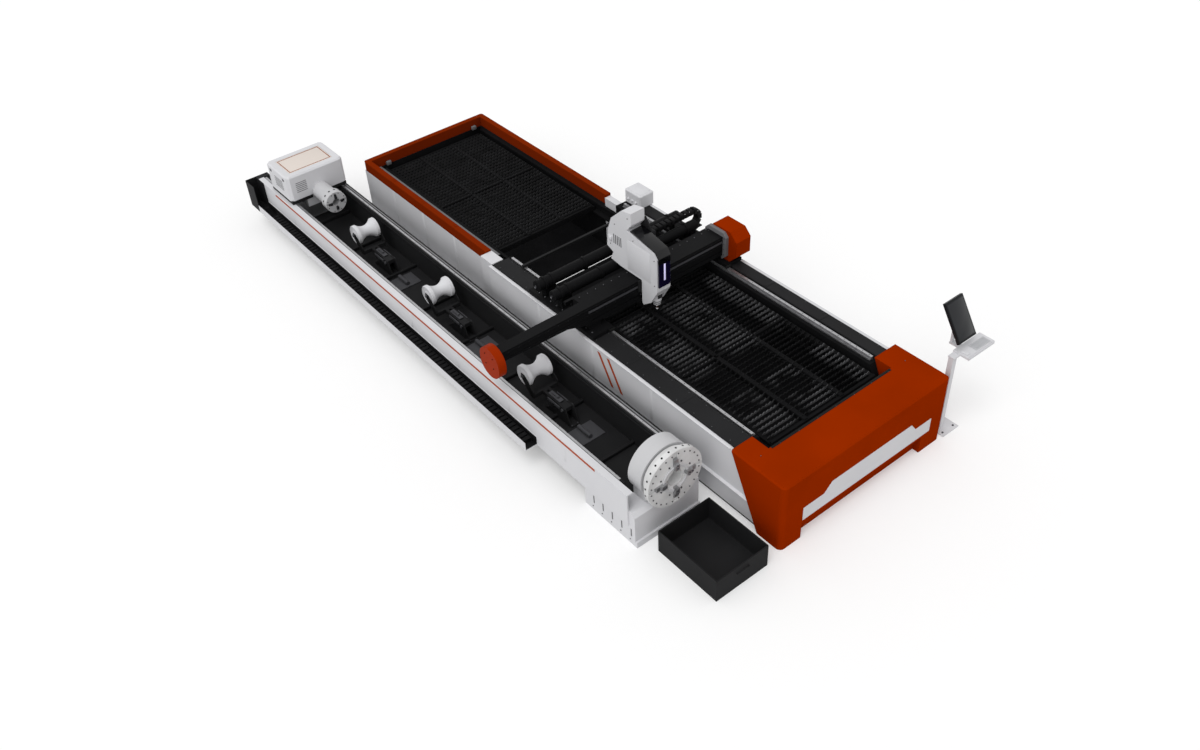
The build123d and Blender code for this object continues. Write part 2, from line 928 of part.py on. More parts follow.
# Rear chuck's gearbox housing, with a keel let down between the rails
with BuildPart() as rear_chuck_box:
    block(
        rear_box_left, rear_box_right, rear_box_front, rear_box_rear, rear_box_bottom, rear_box_top
    )
    chamfer(rear_chuck_box.edges().filter_by(Axis.Z), length=rear_box_chamfer)
    chamfer(rear_chuck_box.faces().sort_by(Axis.Z)[-1].edges(), length=rear_box_chamfer / 2)
    block(
        rear_box_left + 110, rear_box_right - 110, rear_box_front + 110, rear_box_rear - 110,
        rear_box_top - 10, rear_box_top + 1, mode=Mode.SUBTRACT,
    )
    block(
        tube_axis_x - rear_keel_half, tube_axis_x + rear_keel_half,
        rear_box_front + 20, rear_box_rear - 80, rear_keel_bottom, rear_box_bottom,
    )
    cylinder_y(
        tube_axis_x, tube_axis_z, nose_radius + hub_gap, rear_box_front - 1,
        rear_box_front + nose_hub_depth + 5, mode=Mode.SUBTRACT,
    )
save(rear_chuck_box.part, "rear_chuck_box")

# Turning nose of the rear chuck
with BuildPart() as rear_chuck:
    cylinder_y(tube_axis_x, tube_axis_z, nose_face_radius, nose_back, nose_front)
    cylinder_y(
        tube_axis_x, tube_axis_z, nose_radius, nose_front, rear_box_front + nose_hub_depth
    )
    cylinder_y(
        tube_axis_x, tube_axis_z, nose_bore, nose_back - 1, rear_box_front, mode=Mode.SUBTRACT
    )
    chuck_slots(
        nose_back, nose_jaw_slot, nose_jaw_width + 2 * jaw_gap, nose_bore - 10, nose_face_radius - 10
    )
save(rear_chuck.part, "rear_chuck")

for jaw_index in range(4):
    jaw_part = chuck_jaw(
        jaw_index, nose_back, nose_jaw_slot, nose_jaw_proud, nose_jaw_width,
        nose_jaw_inner, nose_jaw_length,
    )
    save(jaw_part, f"rear_jaw_{jaw_index + 1}")

# Brackets of the tube supports: two cheeks on a foot, with a slot, holding the arm's pin
arm_half = arm_width / 2
bracket_floor = tube_bed_bottom + tube_floor
with BuildPart() as support_brackets:
    for roller_y in support_places:
        pivot_y = roller_y - arm_reach
        block(
            tube_axis_x - arm_half - cheek_thickness - seat_gap,
            tube_axis_x + arm_half + cheek_thickness + seat_gap,
            pivot_y - 160, pivot_y + 380, bracket_floor, bracket_floor + 16,
        )
        for cheek_x in (
            tube_axis_x - arm_half - cheek_thickness - seat_gap, tube_axis_x + arm_half + seat_gap,
        ):
            side_profile(
                [
                    (pivot_y - 150, bracket_floor + 16),
                    (pivot_y + 360, bracket_floor + 16),
                    (pivot_y + 60, pivot_height + 40),
                    (pivot_y - 60, pivot_height + 40),
                ],
                cheek_x, cheek_x + cheek_thickness,
            )
        cylinder_x(
            pivot_y, pivot_height, pivot_radius - hub_gap, tube_axis_x - arm_half - seat_gap,
            tube_axis_x + arm_half + seat_gap,
        )
save(support_brackets.part, "support_brackets")


def support_arm(roller_y):
    """Swing arm: a slotted bar from the pin to a fork that carries the roller."""
    pivot_y = roller_y - arm_reach
    fork_half = roller_length / 2 + 1
    bar_end = roller_y - roller_end_radius - 25
    lower = arm_thickness / 2
    with BuildPart() as arm:
        side_profile(
            [
                (pivot_y - 35, pivot_height - lower),
                (bar_end, pivot_height - lower),
                (bar_end, pivot_height + lower),
                (pivot_y - 35, pivot_height + lower),
            ],
            tube_axis_x - arm_half, tube_axis_x + arm_half,
        )
        block(
            tube_axis_x - arm_half / 3, tube_axis_x + arm_half / 3, pivot_y + 90, bar_end - 70,
            pivot_height - lower - 1, pivot_height + lower + 1, mode=Mode.SUBTRACT,
        )
        block(
            tube_axis_x - fork_half - prong_thickness, tube_axis_x + fork_half + prong_thickness,
            bar_end - 40, bar_end, pivot_height - lower, pivot_height + lower,
        )
        for prong_x in (tube_axis_x - fork_half - prong_thickness, tube_axis_x + fork_half):
            side_profile(
                [
                    (bar_end - 40, pivot_height - lower),
                    (bar_end + 30, pivot_height - lower),
                    (roller_y + 35, roller_height - 30),
                    (roller_y + 35, roller_height + 30),
                    (roller_y - 35, roller_height + 30),
                    (bar_end - 40, pivot_height + lower + 40),
                ],
                prong_x, prong_x + prong_thickness,
            )
        cylinder_x(
            roller_y, roller_height, axle_radius, tube_axis_x - fork_half, tube_axis_x + fork_half
        )
        cylinder_x(
            pivot_y, pivot_height, pivot_radius, tube_axis_x - arm_half - 1, tube_axis_x + arm_half + 1,
            mode=Mode.SUBTRACT,
        )
    return arm.part


def support_roller(roller_y):
    """Waisted roller, bored for its axle."""
    half = roller_length / 2
    with BuildPart() as roller:
        with BuildSketch(elevation(roller_y)) as outline:
            with BuildLine():
                Polyline(
                    (tube_axis_x + half, roller_height + axle_radius + hub_gap),
                    (tube_axis_x + half, roller_height + roller_end_radius),
                    (tube_axis_x + roller_waist_half, roller_height + roller_end_radius),
                    (tube_axis_x + roller_waist_half, roller_height + roller_waist_radius),
                    (tube_axis_x - roller_waist_half, roller_height + roller_waist_radius),
                    (tube_axis_x - roller_waist_half, roller_height + roller_end_radius),
                    (tube_axis_x - half, roller_height + roller_end_radius),
                    (tube_axis_x - half, roller_height + axle_radius + hub_gap),
                    close=True,
                )
            make_face()
        spin_line = Axis((-middle_x, roller_y - middle_y, roller_height), (1, 0, 0))
        revolve(outline.sketch, axis=spin_line, revolution_arc=360)
    return roller.part


for support_index, support_y in enumerate(support_places):
    save(support_arm(support_y), f"support_arm_{support_index + 1}")
    save(support_roller(support_y), f"roller_{support_index + 1}")

# Open bin for cut pieces, in front of the front chuck
with BuildPart() as scrap_bin:
    block(bin_left, bin_right, bin_front, bin_rear, 0, bin_height)
    block(
        bin_left + bin_wall, bin_right - bin_wall, bin_front + bin_wall, bin_rear - bin_wall,
        bin_wall, bin_height + 1, mode=Mode.SUBTRACT,
    )
save(scrap_bin.part, "scrap_bin")

# Gantry beam with its tapering outrigger arm and the two X rails on its front face
with BuildPart() as gantry_beam:
    block(beam_left, beam_right, beam_front, beam_front + beam_depth, beam_bottom, beam_top)
    front_profile(
        [
            (beam_left, beam_top),
            (arm_left, beam_top),
            (arm_left, arm_tip_bottom),
            (arm_root_x, arm_root_bottom),
            (beam_left, beam_bottom + 20),
        ],
        beam_front, beam_front + arm_depth,
    )
    block(
        beam_left + 60, beam_right - 60, beam_front - 1, beam_front + groove_depth,
        beam_bottom + 50, beam_bottom + 50 + groove_height, mode=Mode.SUBTRACT,
    )
    for rail_z in (x_rail_low, x_rail_high):
        block(
            x_rail_left, x_rail_right, beam_front - x_rail_proud, beam_front,
            rail_z - x_rail_height / 2, rail_z + x_rail_height / 2,
        )
save(gantry_beam.part, "gantry_beam")

# Rounded cap on the end of the outrigger arm
with BuildPart() as arm_cap:
    cap_centre_y = beam_front + arm_depth / 2
    with BuildSketch(section(arm_left - cap_thickness)):
        with Locations((cap_centre_y, cap_centre_z)):
            RectangleRounded(cap_width, cap_height, cap_width / 2 - 1)
    extrude(amount=cap_thickness)
save(arm_cap.part, "arm_cap")

# Chamfered housing over the drive at the gantry's right end
with BuildPart() as end_housing:
    end_left = beam_right
    end_bottom = carriage_top
    end_rear = end_front + end_depth
    side_profile(
        [
            (end_front, end_bottom + end_chamfer),
            (end_front + end_chamfer, end_bottom),
            (end_rear - end_chamfer, end_bottom),
            (end_rear, end_bottom + end_chamfer),
            (end_rear, end_top - end_chamfer),
            (end_rear - end_chamfer, end_top),
            (end_front + end_chamfer, end_top),
            (end_front, end_top - end_chamfer),
        ],
        end_left, end_left + end_width,
    )
    chamfer(end_housing.faces().sort_by(Axis.X)[-1].edges(), length=25)
save(end_housing.part, "end_housing")

# Pale ring bracket that clamps the beam's end to the housing
with BuildPart() as housing_bracket:
    with BuildSketch(section(beam_right - ring_thickness)) as ring_sketch:
        with Locations((beam_front + beam_depth / 2, (beam_bottom + beam_top) / 2)):
            Rectangle(beam_depth + 2 * ring_border, beam_top - beam_bottom + 2 * ring_border)
            chamfer(ring_sketch.vertices(), length=ring_border)
            Rectangle(
                beam_depth + 2 * bar_gap, beam_top - beam_bottom + 2 * bar_gap, mode=Mode.SUBTRACT
            )
    extrude(amount=ring_thickness)
save(housing_bracket.part, "housing_bracket")

# Carriages of the gantry: plates over both rails with uprights and saddles
with BuildPart() as gantry_carriages:
    sides = (
        (carriage_left_outer, carriage_left_inner, carriage_left_rear, pad_left_start, pad_left_end),
        (
            carriage_right_inner, carriage_right_outer, carriage_right_rear,
            carriage_right_inner + pad_inset, carriage_right_inner + pad_inset + pad_width,
        ),
    )
    for plate_left, plate_right, plate_rear, pad_left, pad_right in sides:
        block(plate_left, plate_right, carriage_front, plate_rear, carriage_bottom, carriage_top)
        block(
            pad_left, pad_right, beam_front + 20, beam_front + beam_depth - 20,
            carriage_top, beam_bottom,
        )
        for bar_y, bar_z, bar_radius in (
            (tube_one_y, tube_one_z, tube_one_radius), (tube_two_y, tube_two_z, tube_two_radius),
        ):
            block(
                pad_left, pad_right, bar_y - pad_length / 2, bar_y + pad_length / 2,
                carriage_top, bar_z,
            )
            cylinder_x(
                bar_y, bar_z, bar_radius + bar_gap, pad_left - 1, pad_right + 1,
                mode=Mode.SUBTRACT,
            )
        block(
            pad_left, pad_right, fin_y - fin_width / 2, fin_y + fin_width / 2,
            carriage_top, fin_bottom,
        )
    block(
        carriage_right_inner + 60, carriage_right_outer - 60,
        x_chain_y - x_chain_width / 2, x_chain_y + x_chain_width / 2, carriage_top, tray_bottom,
    )
save(gantry_carriages.part, "gantry_carriages")

# Bars across the gantry behind the beam, and the tray of the drag chain
with BuildPart() as gantry_bars:
    cylinder_x(tube_one_y, tube_one_z, tube_one_radius, bars_left, bars_right)
    cylinder_x(tube_two_y, tube_two_z, tube_two_radius, bars_left, bars_right)
    block(
        bars_left, bars_right, fin_y - fin_width / 2, fin_y + fin_width / 2,
        fin_bottom, fin_bottom + fin_height,
    )
    block(
        tray_left, x_chain_centre_x + x_chain_radius, x_chain_y - x_chain_width / 2,
        x_chain_y + x_chain_width / 2, tray_bottom, tray_bottom + tray_thickness,
    )
save(gantry_bars.part, "gantry_bars")

# Drag chain of the head: lower run on the tray, loop, and upper run back to the head
with BuildPart() as x_chain:
    chain_back = x_chain_y + x_chain_width / 2
    chain_centre_z = tray_bottom + tray_thickness + x_chain_radius
    with BuildSketch(elevation(chain_back)) as chain_side:
        with Locations((x_chain_centre_x, chain_centre_z)):
            Circle(x_chain_radius)
        with Locations(((x_chain_head_end + x_chain_centre_x) / 2, chain_centre_z)):
            Rectangle(x_chain_centre_x - x_chain_head_end, 2 * x_chain_radius)
        with Locations((x_chain_centre_x, chain_centre_z)):
            Circle(x_chain_radius - x_chain_link, mode=Mode.SUBTRACT)
        with Locations(((x_chain_head_end - 100 + x_chain_centre_x) / 2, chain_centre_z)):
            Rectangle(
                x_chain_centre_x - x_chain_head_end + 100, 2 * (x_chain_radius - x_chain_link),
                mode=Mode.SUBTRACT,
            )
        run_links = int((x_chain_centre_x - x_chain_head_end) / x_chain_pitch) - 1
        for run_z in (chain_centre_z - x_chain_radius, chain_centre_z + x_chain_radius):
            with Locations(((x_chain_head_end + x_chain_centre_x) / 2, run_z)):
                with GridLocations(x_chain_pitch, 1, run_links, 1):
                    Rectangle(x_chain_notch, x_chain_notch * 2, mode=Mode.SUBTRACT)
        for link in range(x_chain_turn_links + 1):
            turn = -90 + 180 * link / x_chain_turn_links
            with Locations(Location((x_chain_centre_x, chain_centre_z), turn)):
                with Locations((x_chain_radius, 0)):
                    Rectangle(x_chain_notch * 2, x_chain_notch, mode=Mode.SUBTRACT)
    extrude(chain_side.sketch, amount=x_chain_width)
save(x_chain.part, "x_chain")

# Cutting head's carriage: plate on the X rails, backplate and drive motors
over_beam = beam_top + 20
with BuildPart() as head_carriage:
    plate_front = head_back
    plate_back = beam_front - x_rail_proud - seat_gap
    block(head_left - 50, head_right + 60, plate_front, plate_back, x_rail_low - 28, over_beam)
    back_right = head_right + backplate_thickness
    side_profile(
        [
            (head_back, beam_top + 15),
            (head_rear - 190, beam_top + 15),
            (head_rear - 90, beam_top + 300),
            (head_rear - 190, beam_top + 700),
            (head_rear - 510, beam_top + 800),
            (head_back, beam_top + 560),
        ],
        head_right, back_right,
    )
    motor_y = head_rear - 290
    cylinder_x(motor_y, beam_top + 560, motor_radius, back_right, back_right + motor_length)
    cylinder_x(
        motor_y - 150, beam_top + 400, motor_radius * 0.8, back_right, back_right + motor_length * 0.7
    )
save(head_carriage.part, "head_carriage")

# White housing of the cutting head: open below, reaching back over the beam
with BuildPart() as head_housing:
    side_profile(
        [
            (head_front, head_chin),
            (head_front, head_brow),
            (brow_back, brow_top),
            (slope_back, slope_top),
            (crest_front, crest_foot),
            (crest_front, crest_top),
            (crest_back, crest_back_top),
            (shoulder_y, shoulder_z),
            (nape_y, nape_z),
            (head_rear, head_rear_z),
            (tail_y, tail_z),
            (tail_foot_y, over_beam + tail_foot_rise),
            (tail_under_y, over_beam),
            (head_back, over_beam),
            (head_back, keel_z + 20),
            (head_back - 30, keel_z),
            (head_front + 130, head_body_bottom),
        ],
        head_left, head_right,
    )
    block(
        head_middle - pocket_width / 2, head_middle + pocket_width / 2,
        pocket_front, pocket_front + pocket_depth, 1000, pocket_top, mode=Mode.SUBTRACT,
    )
save(head_housing.part, "head_housing")

# Dark glossy panel down the front of the head and back over its sloping top
with BuildPart() as head_panel:
    glass = head_panel_thickness
    fall = (slope_top - brow_top) / (slope_back - brow_back)
    panel_end_y = brow_back + (slope_back - brow_back) * head_panel_share
    panel_end_z = brow_top + (slope_top - brow_top) * head_panel_share
    side_profile(
        [
            (head_front - glass, head_chin + 70),
            (head_front, head_chin + 70),
            (head_front, head_brow),
            (brow_back, brow_top),
            (panel_end_y, panel_end_z),
            (panel_end_y - glass * fall, panel_end_z + glass),
            (brow_back - glass / 3, brow_top + glass),
            (head_front - glass, head_brow + glass / 3),
        ],
        head_left + head_panel_inset, head_right - head_panel_inset,
    )
save(head_panel.part, "head_panel")

# Cutting head proper: focusing barrel, collar and copper-tipped nozzle on a slide block
with BuildPart() as cutting_head:
    with BuildSketch(section(head_middle)) as barrel:
        with BuildLine():
            Polyline(
                (head_centre_y, nozzle_tip),
                (head_centre_y + nozzle_radius, nozzle_tip),
                (head_centre_y + nozzle_radius, collar_bottom),
                (head_centre_y + collar_radius, collar_bottom),
                (head_centre_y + collar_radius, head_body_bottom),
                (head_centre_y + head_radius, head_body_bottom),
                (head_centre_y + head_radius, head_body_top),
                (head_centre_y, head_body_top),
                close=True,
            )
        make_face()
    barrel_line = Axis((head_middle - middle_x, head_centre_y - middle_y, 0), (0, 0, 1))
    revolve(barrel.sketch, axis=barrel_line, revolution_arc=360)
    block(
        head_middle - 34, head_middle + 34, head_centre_y,
        pocket_front + pocket_depth - seat_gap, head_body_bottom + 110, head_body_top - 60,
    )
save(cutting_head.part, "cutting_head")

# Operator's stand: anchored base plate and post
with BuildPart() as console_stand:
    base_left = post_x - console_base / 2 + 50
    base_centre_x = base_left + console_base / 2
    block(
        base_left, base_left + console_base, post_y - console_base / 2, post_y + console_base / 2,
        0, console_base_thickness,
    )
    block(
        post_x - post_size / 2, post_x + post_size / 2, post_y - post_size / 2, post_y + post_size / 2,
        console_base_thickness, post_top,
    )
    with BuildSketch(level(console_base_thickness)) as anchors:
        with Locations((base_centre_x, post_y)):
            with GridLocations(anchor_spacing, anchor_spacing, 2, 2):
                Circle(anchor_radius)
    extrude(anchors.sketch, amount=-console_base_thickness, mode=Mode.SUBTRACT)
save(console_stand.part, "console_stand")

# Swivelling console head: arm, keyboard tray and the screen's upright
hinge_y = screen_centre_y + 42
hinge_z = screen_centre_z - 20
screen_x = tray_x + 130
with BuildPart() as console_tray:
    tray_bottom_z = post_top + seat_gap + swivel_thickness
    block(
        post_x - post_size / 2, tray_x + 180, post_y - 45, post_y + 45,
        post_top + seat_gap, tray_bottom_z,
    )
    block(
        tray_x, tray_right, tray_front, tray_front + tray_depth,
        tray_bottom_z, tray_bottom_z + tray_thickness_console,
    )
    fillet(console_tray.edges().filter_by(Axis.Z).group_by(Axis.X)[-1], radius=20)
    block(
        screen_x - 35, screen_x + 35, tray_front + tray_depth - 20, hinge_y + 16,
        tray_bottom_z, tray_bottom_z + 25,
    )
    block(
        screen_x - 20, screen_x + 20, hinge_y - 14, hinge_y + 16, tray_bottom_z, hinge_z + 14,
    )
    cylinder_x(
        hinge_y, hinge_z, hinge_radius + seat_gap, screen_x - 21, screen_x + 21, mode=Mode.SUBTRACT
    )
save(console_tray.part, "console_tray")

# Screen on its tilt hinge
with BuildPart() as monitor:
    lean = Plane(
        origin=(screen_x - middle_x, screen_centre_y - middle_y, screen_centre_z),
        x_dir=(1, 0, 0),
        z_dir=(0, -math.cos(math.radians(screen_tilt)), math.sin(math.radians(screen_tilt))),
    )
    with BuildSketch(lean):
        Rectangle(screen_width, screen_height)
    extrude(amount=screen_thickness / 2, both=True)
    for ear_low in (screen_x - 34, screen_x + 20 + seat_gap):
        ear_high = ear_low + 14 - seat_gap
        side_profile(
            [
                (hinge_y + 14, hinge_z + 14),
                (hinge_y - 40, hinge_z + 40),
                (hinge_y - 62, hinge_z + 2),
                (hinge_y - 12, hinge_z - 16),
                (hinge_y + 12, hinge_z - 14),
            ],
            ear_low, ear_high,
        )
    cylinder_x(
        hinge_y, hinge_z, hinge_radius, screen_x - 20 - seat_gap, screen_x + 20 + seat_gap
    )
save(monitor.part, "monitor")
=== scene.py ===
import math
import random
from itertools import product

import bmesh
import bpy
from mathutils import Matrix, Vector


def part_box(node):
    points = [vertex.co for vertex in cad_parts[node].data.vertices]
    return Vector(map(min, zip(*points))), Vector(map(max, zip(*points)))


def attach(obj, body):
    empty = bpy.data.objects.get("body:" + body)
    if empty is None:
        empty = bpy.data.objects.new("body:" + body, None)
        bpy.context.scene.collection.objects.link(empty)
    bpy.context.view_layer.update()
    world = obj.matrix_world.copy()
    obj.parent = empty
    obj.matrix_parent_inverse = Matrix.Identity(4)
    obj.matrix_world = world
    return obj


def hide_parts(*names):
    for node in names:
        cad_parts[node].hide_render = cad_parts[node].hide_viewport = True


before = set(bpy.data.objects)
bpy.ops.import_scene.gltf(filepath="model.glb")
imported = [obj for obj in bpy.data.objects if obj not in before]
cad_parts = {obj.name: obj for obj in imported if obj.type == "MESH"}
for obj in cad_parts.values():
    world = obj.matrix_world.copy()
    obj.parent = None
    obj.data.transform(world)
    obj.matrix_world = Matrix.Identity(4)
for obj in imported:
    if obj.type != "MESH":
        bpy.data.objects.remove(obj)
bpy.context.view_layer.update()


# Front casing: a folded steel hood across the machine's front, powder coated in rust
# orange with a fine orange peel. A pale plate is let into its face, a dark rubber lip
# closes its rear edge over the pit, and four levelling feet carry it.
def screen_colour(red, green, blue):
    """A colour read off a screen, 0 to 255, as the linear value that a shader takes."""
    linear = []
    for part in (red, green, blue):
        share = part / 255
        linear.append(share / 12.92 if share <= 0.04045 else ((share + 0.055) / 1.055) ** 2.4)
    return (*linear, 1)


def add_node(tree, kind, values=()):
    """Add a shader node, and set its own inputs to the given values."""
    made = tree.nodes.new(kind)
    for entry, value in dict(values).items():
        made.inputs[entry].default_value = value
    return made


def wire(tree, *wires):
    """Join nodes: each wire runs from a node's output to another node's input."""
    for start, output, end, entry in wires:
        tree.links.new(start.outputs[output], end.inputs[entry])


def painted(name, colour, rough=0.45, tone=0.07, cloud_size=1.3, peel=0.15, peel_size=420,
            edge=0.004, metal=0.0, coat=0.0, shine=0.12):
    """A painted surface: slow changes of tone, small changes of gloss, orange peel, soft edges."""
    material = bpy.data.materials.new(name)
    material.use_nodes = True
    tree = material.node_tree
    shader = tree.nodes["Principled BSDF"]
    shader.inputs["Metallic"].default_value = metal
    shader.inputs["Specular IOR Level"].default_value = shine
    shader.inputs["Coat Weight"].default_value = coat
    shader.inputs["Coat Roughness"].default_value = 0.12
    base = screen_colour(*colour)
    place = add_node(tree, "ShaderNodeTexCoord")
    cloud = add_node(tree, "ShaderNodeTexNoise", {"Scale": cloud_size, "Detail": 6})
    ramp = add_node(tree, "ShaderNodeValToRGB")
    ramp.name = "tones"
    for stop, position, change in zip(ramp.color_ramp.elements, (0.3, 0.7), (-tone, tone)):
        stop.position = position
        stop.color = (*[min(1, part * (1 + change)) for part in base[:3]], 1)
    gloss_change = 0.06
    gloss = add_node(
        tree, "ShaderNodeMapRange", {"To Min": rough - gloss_change, "To Max": rough + gloss_change}
    )
    grain = add_node(tree, "ShaderNodeTexNoise", {"Scale": peel_size})
    bump = add_node(tree, "ShaderNodeBump", {"Strength": peel, "Distance": 0.0004})
    soften = add_node(tree, "ShaderNodeBevel", {"Radius": edge})
    soften.samples = 4
    wire(
        tree,
        (place, "Object", cloud, "Vector"), (place, "Object", grain, "Vector"),
        (cloud, "Fac", ramp, "Fac"), (ramp, "Color", shader, "Base Color"),
        (cloud, "Fac", gloss, "Value"), (gloss, "Result", shader, "Roughness"),
        (grain, "Fac", bump, "Height"), (soften, "Normal", bump, "Normal"),
        (bump, "Normal", shader, "Normal"),
    )
    return material


def dress(material, *nodes):
    """Put a finish on whole pieces of the frame."""
    for node in nodes:
        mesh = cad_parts[node].data
        mesh.materials.clear()
        mesh.materials.append(material)


def block(form, low, high, soft=0.0):
    """Add a block between two corners, with its edges rounded by soft."""
    low = Vector(low)
    high = Vector(high)
    shape = Matrix.Translation((low + high) / 2) @ Matrix.Diagonal((*(high - low), 1))
    made = bmesh.ops.create_cube(form, size=1, matrix=shape)
    if soft:
        edges = {edge for corner in made["verts"] for edge in corner.link_edges}
        bmesh.ops.bevel(
            form, geom=list(edges), offset=soft, segments=2, affect="EDGES", profile=0.5,
            material=-1,
        )


def rod(form, start, end, radius, sides=24):
    """Add a round bar from one point to another, and return its corners."""
    start = Vector(start)
    along = Vector(end) - start
    turn = along.to_track_quat("Z", "Y").to_matrix().to_4x4()
    made = bmesh.ops.create_cone(
        form, cap_ends=True, segments=sides, radius1=radius, radius2=radius, depth=along.length,
        matrix=Matrix.Translation(start + along / 2) @ turn,
    )
    return made["verts"]


def bolt(form, seat, facing, radius, sides=12):
    """Add a socket head: a short round head with a sunk hexagon in its face."""
    seat = Vector(seat)
    facing = Vector(facing)
    corners = rod(form, seat - facing * radius * 0.2, seat + facing * radius * 0.8, radius, sides)
    faces = {face for corner in corners for face in corner.link_faces}
    cap = max(faces, key=lambda face: face.calc_center_median().dot(facing))
    bmesh.ops.inset_region(form, faces=[cap], thickness=radius * 0.45)
    bmesh.ops.translate(form, verts=cap.verts[:], vec=-facing * radius * 0.45)


def turned(form, outline, centre, axis, sides=64):
    """Turn an outline, given as distances along and out from the axis, into a round piece."""
    centre = Vector(centre)
    axis = Vector(axis)
    side = axis.orthogonal().normalized()
    corners = [form.verts.new(centre + axis * along + side * out) for along, out in outline]
    edges = [form.edges.new(pair) for pair in zip(corners, corners[1:])]
    bmesh.ops.spin(
        form, geom=corners + edges, cent=centre, axis=axis, angle=math.tau, steps=sides,
        use_merge=True,
    )
    bmesh.ops.remove_doubles(form, verts=form.verts[:], dist=0.00001)


def put(name, data):
    """Put an object into the scene."""
    made = bpy.data.objects.new(name, data)
    bpy.context.scene.collection.objects.link(made)
    return made


def finish(name, form, material, body):
    """Turn a form into a piece of the scene that rides on a body."""
    bmesh.ops.recalc_face_normals(form, faces=form.faces[:])
    mesh = bpy.data.meshes.new(name)
    form.to_mesh(mesh)
    form.free()
    mesh.materials.append(material)
    mesh.shade_smooth()
    mesh.set_sharp_from_angle(angle=math.radians(32))
    piece = put(name, mesh)
    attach(piece, body)
    return piece


def spread(first, last, count):
    """Places spread evenly over a length, from its first to its last."""
    return [first + (last - first) * step / (count - 1) for step in range(count)]


rust_paint = painted("rust_paint", (146, 41, 0), rough=0.42, edge=0.012, shine=0.0)
pale_paint = painted("pale_paint", (214, 214, 217), rough=0.5, tone=0.025)
black_rubber = painted("black_rubber", (22, 22, 22), rough=0.75, tone=0.2, cloud_size=14, peel=0.4)
bolt_steel = painted(
    "bolt_steel", (92, 92, 95), rough=0.35, tone=0.2, cloud_size=20, edge=0.001,
    metal=0.8,
)
dress(rust_paint, "front_casing")
dress(pale_paint, "casing_inlay")
casing_low, casing_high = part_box("front_casing")
left = casing_low.x
front = casing_low.y
bed_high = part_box("bed_frame")[1]
tracks_low, tracks_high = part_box("pallet_tracks")
pit_left = tracks_low.x
pit_right = tracks_high.x
casing_arm = 0.26
lip_left = pit_left - 0.06
lip_right = pit_right + 0.07
lip_y = casing_high.y - casing_arm
form = bmesh.new()
block(
    form, (lip_left, lip_y - 0.03, casing_high.z - 0.004),
    (lip_right, lip_y - 0.006, casing_high.z + 0.004), 0.003,
)
block(
    form, (lip_left, lip_y - 0.008, casing_high.z - 0.06),
    (lip_right, lip_y + 0.006, casing_high.z + 0.002), 0.002,
)
finish("casing_lip", form, black_rubber, "machine")
foot_outline = [(0, 0), (0, 0.05), (0.012, 0.05), (0.02, 0.03), (0.02, 0.014), (0.024, 0)]
form = bmesh.new()
for foot_x, foot_y in product((left + 0.16, casing_high.x - 0.2), (front + 0.06, front + 0.3)):
    turned(form, foot_outline, (foot_x, foot_y, casing_low.z), (0, 0, 1), 32)
for screw_x in spread(left + 0.18, casing_high.x - 0.18, 9):
    bolt(form, (screw_x, casing_high.y - 0.288, casing_high.z), (0, 0, 1), 0.007)
finish("casing_fixings", form, bolt_steel, "machine")

# Main bed: a black welded frame between pale side sheets, with copper stripes on its side,
# black folded covers along its walls, ground steel rails and racks cut with fine teeth.
black_paint = painted("black_paint", (35, 35, 36), rough=0.5, tone=0.16, shine=0.05)
# A darker copy of the black paint: black steel, painted darker still as shade down in the pits, and
# used as the painted shade in the chucks' holes.
black_steel_and_pit_shade = painted("black_steel_and_pit_shade", (18, 18, 19), rough=0.8, tone=0.25, cloud_size=3, shine=0.05)
copper_paint = painted("copper_paint", (176, 78, 40), rough=0.4)
rail_steel = painted(
    "rail_steel", (168, 168, 170), rough=0.32, tone=0.12, cloud_size=9, edge=0.002,
    metal=0.85,
)
dress(black_steel_and_pit_shade, "bed_frame", "pallet_tracks")
dress(pale_paint, "side_panel_left", "side_panel_right", "corner_blocks", "drive_box")
dress(copper_paint, "side_stripes")
dress(black_paint, "deck_covers", "rear_cross_bar")
dress(rail_steel, "linear_rails")
deck_low, deck_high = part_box("deck_covers")
rails_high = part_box("linear_rails")[1]
rail_half = 0.0175
rail_lines = (left + 0.362, rails_high.x - rail_half)
rail_front = front + 0.86
rail_rear = front + 5.56
bolt_pitch = 0.1
form = bmesh.new()
for rail_x, step in product(rail_lines, range(int((rail_rear - rail_front) / bolt_pitch))):
    plug_y = rail_front + bolt_pitch / 2 + step * bolt_pitch
    rod(
        form, (rail_x, plug_y, rails_high.z - 0.004), (rail_x, plug_y, rails_high.z + 0.0004),
        0.0065, sides=12,
    )
finish("rail_plugs", form, black_rubber, "machine")


def toothed_rack(form, low, high, teeth_low, pitch, teeth):
    """A gear rack along Y: a plain bar, and square teeth from teeth_low to its top."""
    block(form, low, (high[0], high[1], teeth_low))
    for tooth in range(teeth):
        tooth_y = low[1] + tooth * pitch
        block(form, (low[0], tooth_y, teeth_low), (high[0], tooth_y + pitch * 0.5, high[2]))


rack_half = 0.009
rack_top = bed_high.z + 0.024
rack_pitch = 0.012
rack_teeth = int((rail_rear - rail_front) / rack_pitch)
form = bmesh.new()
for rack_x in (rail_lines[0] + 0.03, rail_lines[1] - 0.03):
    toothed_rack(
        form, (rack_x - rack_half, rail_front, bed_high.z),
        (rack_x + rack_half, rail_rear, rack_top), rack_top - 0.006, rack_pitch, rack_teeth,
    )
finish("gear_racks", form, rail_steel, "machine")
form = bmesh.new()
panel_low, panel_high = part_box("side_panel_left")
panel_face = panel_low.x + 0.034
for seam_y in spread(panel_low.y + 0.7, panel_high.y, 5)[1:-1]:
    block(
        form, (panel_face - 0.0005, seam_y - 0.03, panel_low.z + 0.36),
        (panel_face + 0.002, seam_y + 0.03, panel_high.z - 0.004), 0.001,
    )
    for rivet_z in (0.45, 0.65, 0.85):
        bolt(form, (panel_face, seam_y - 0.016, rivet_z), (-1, 0, 0), 0.005)
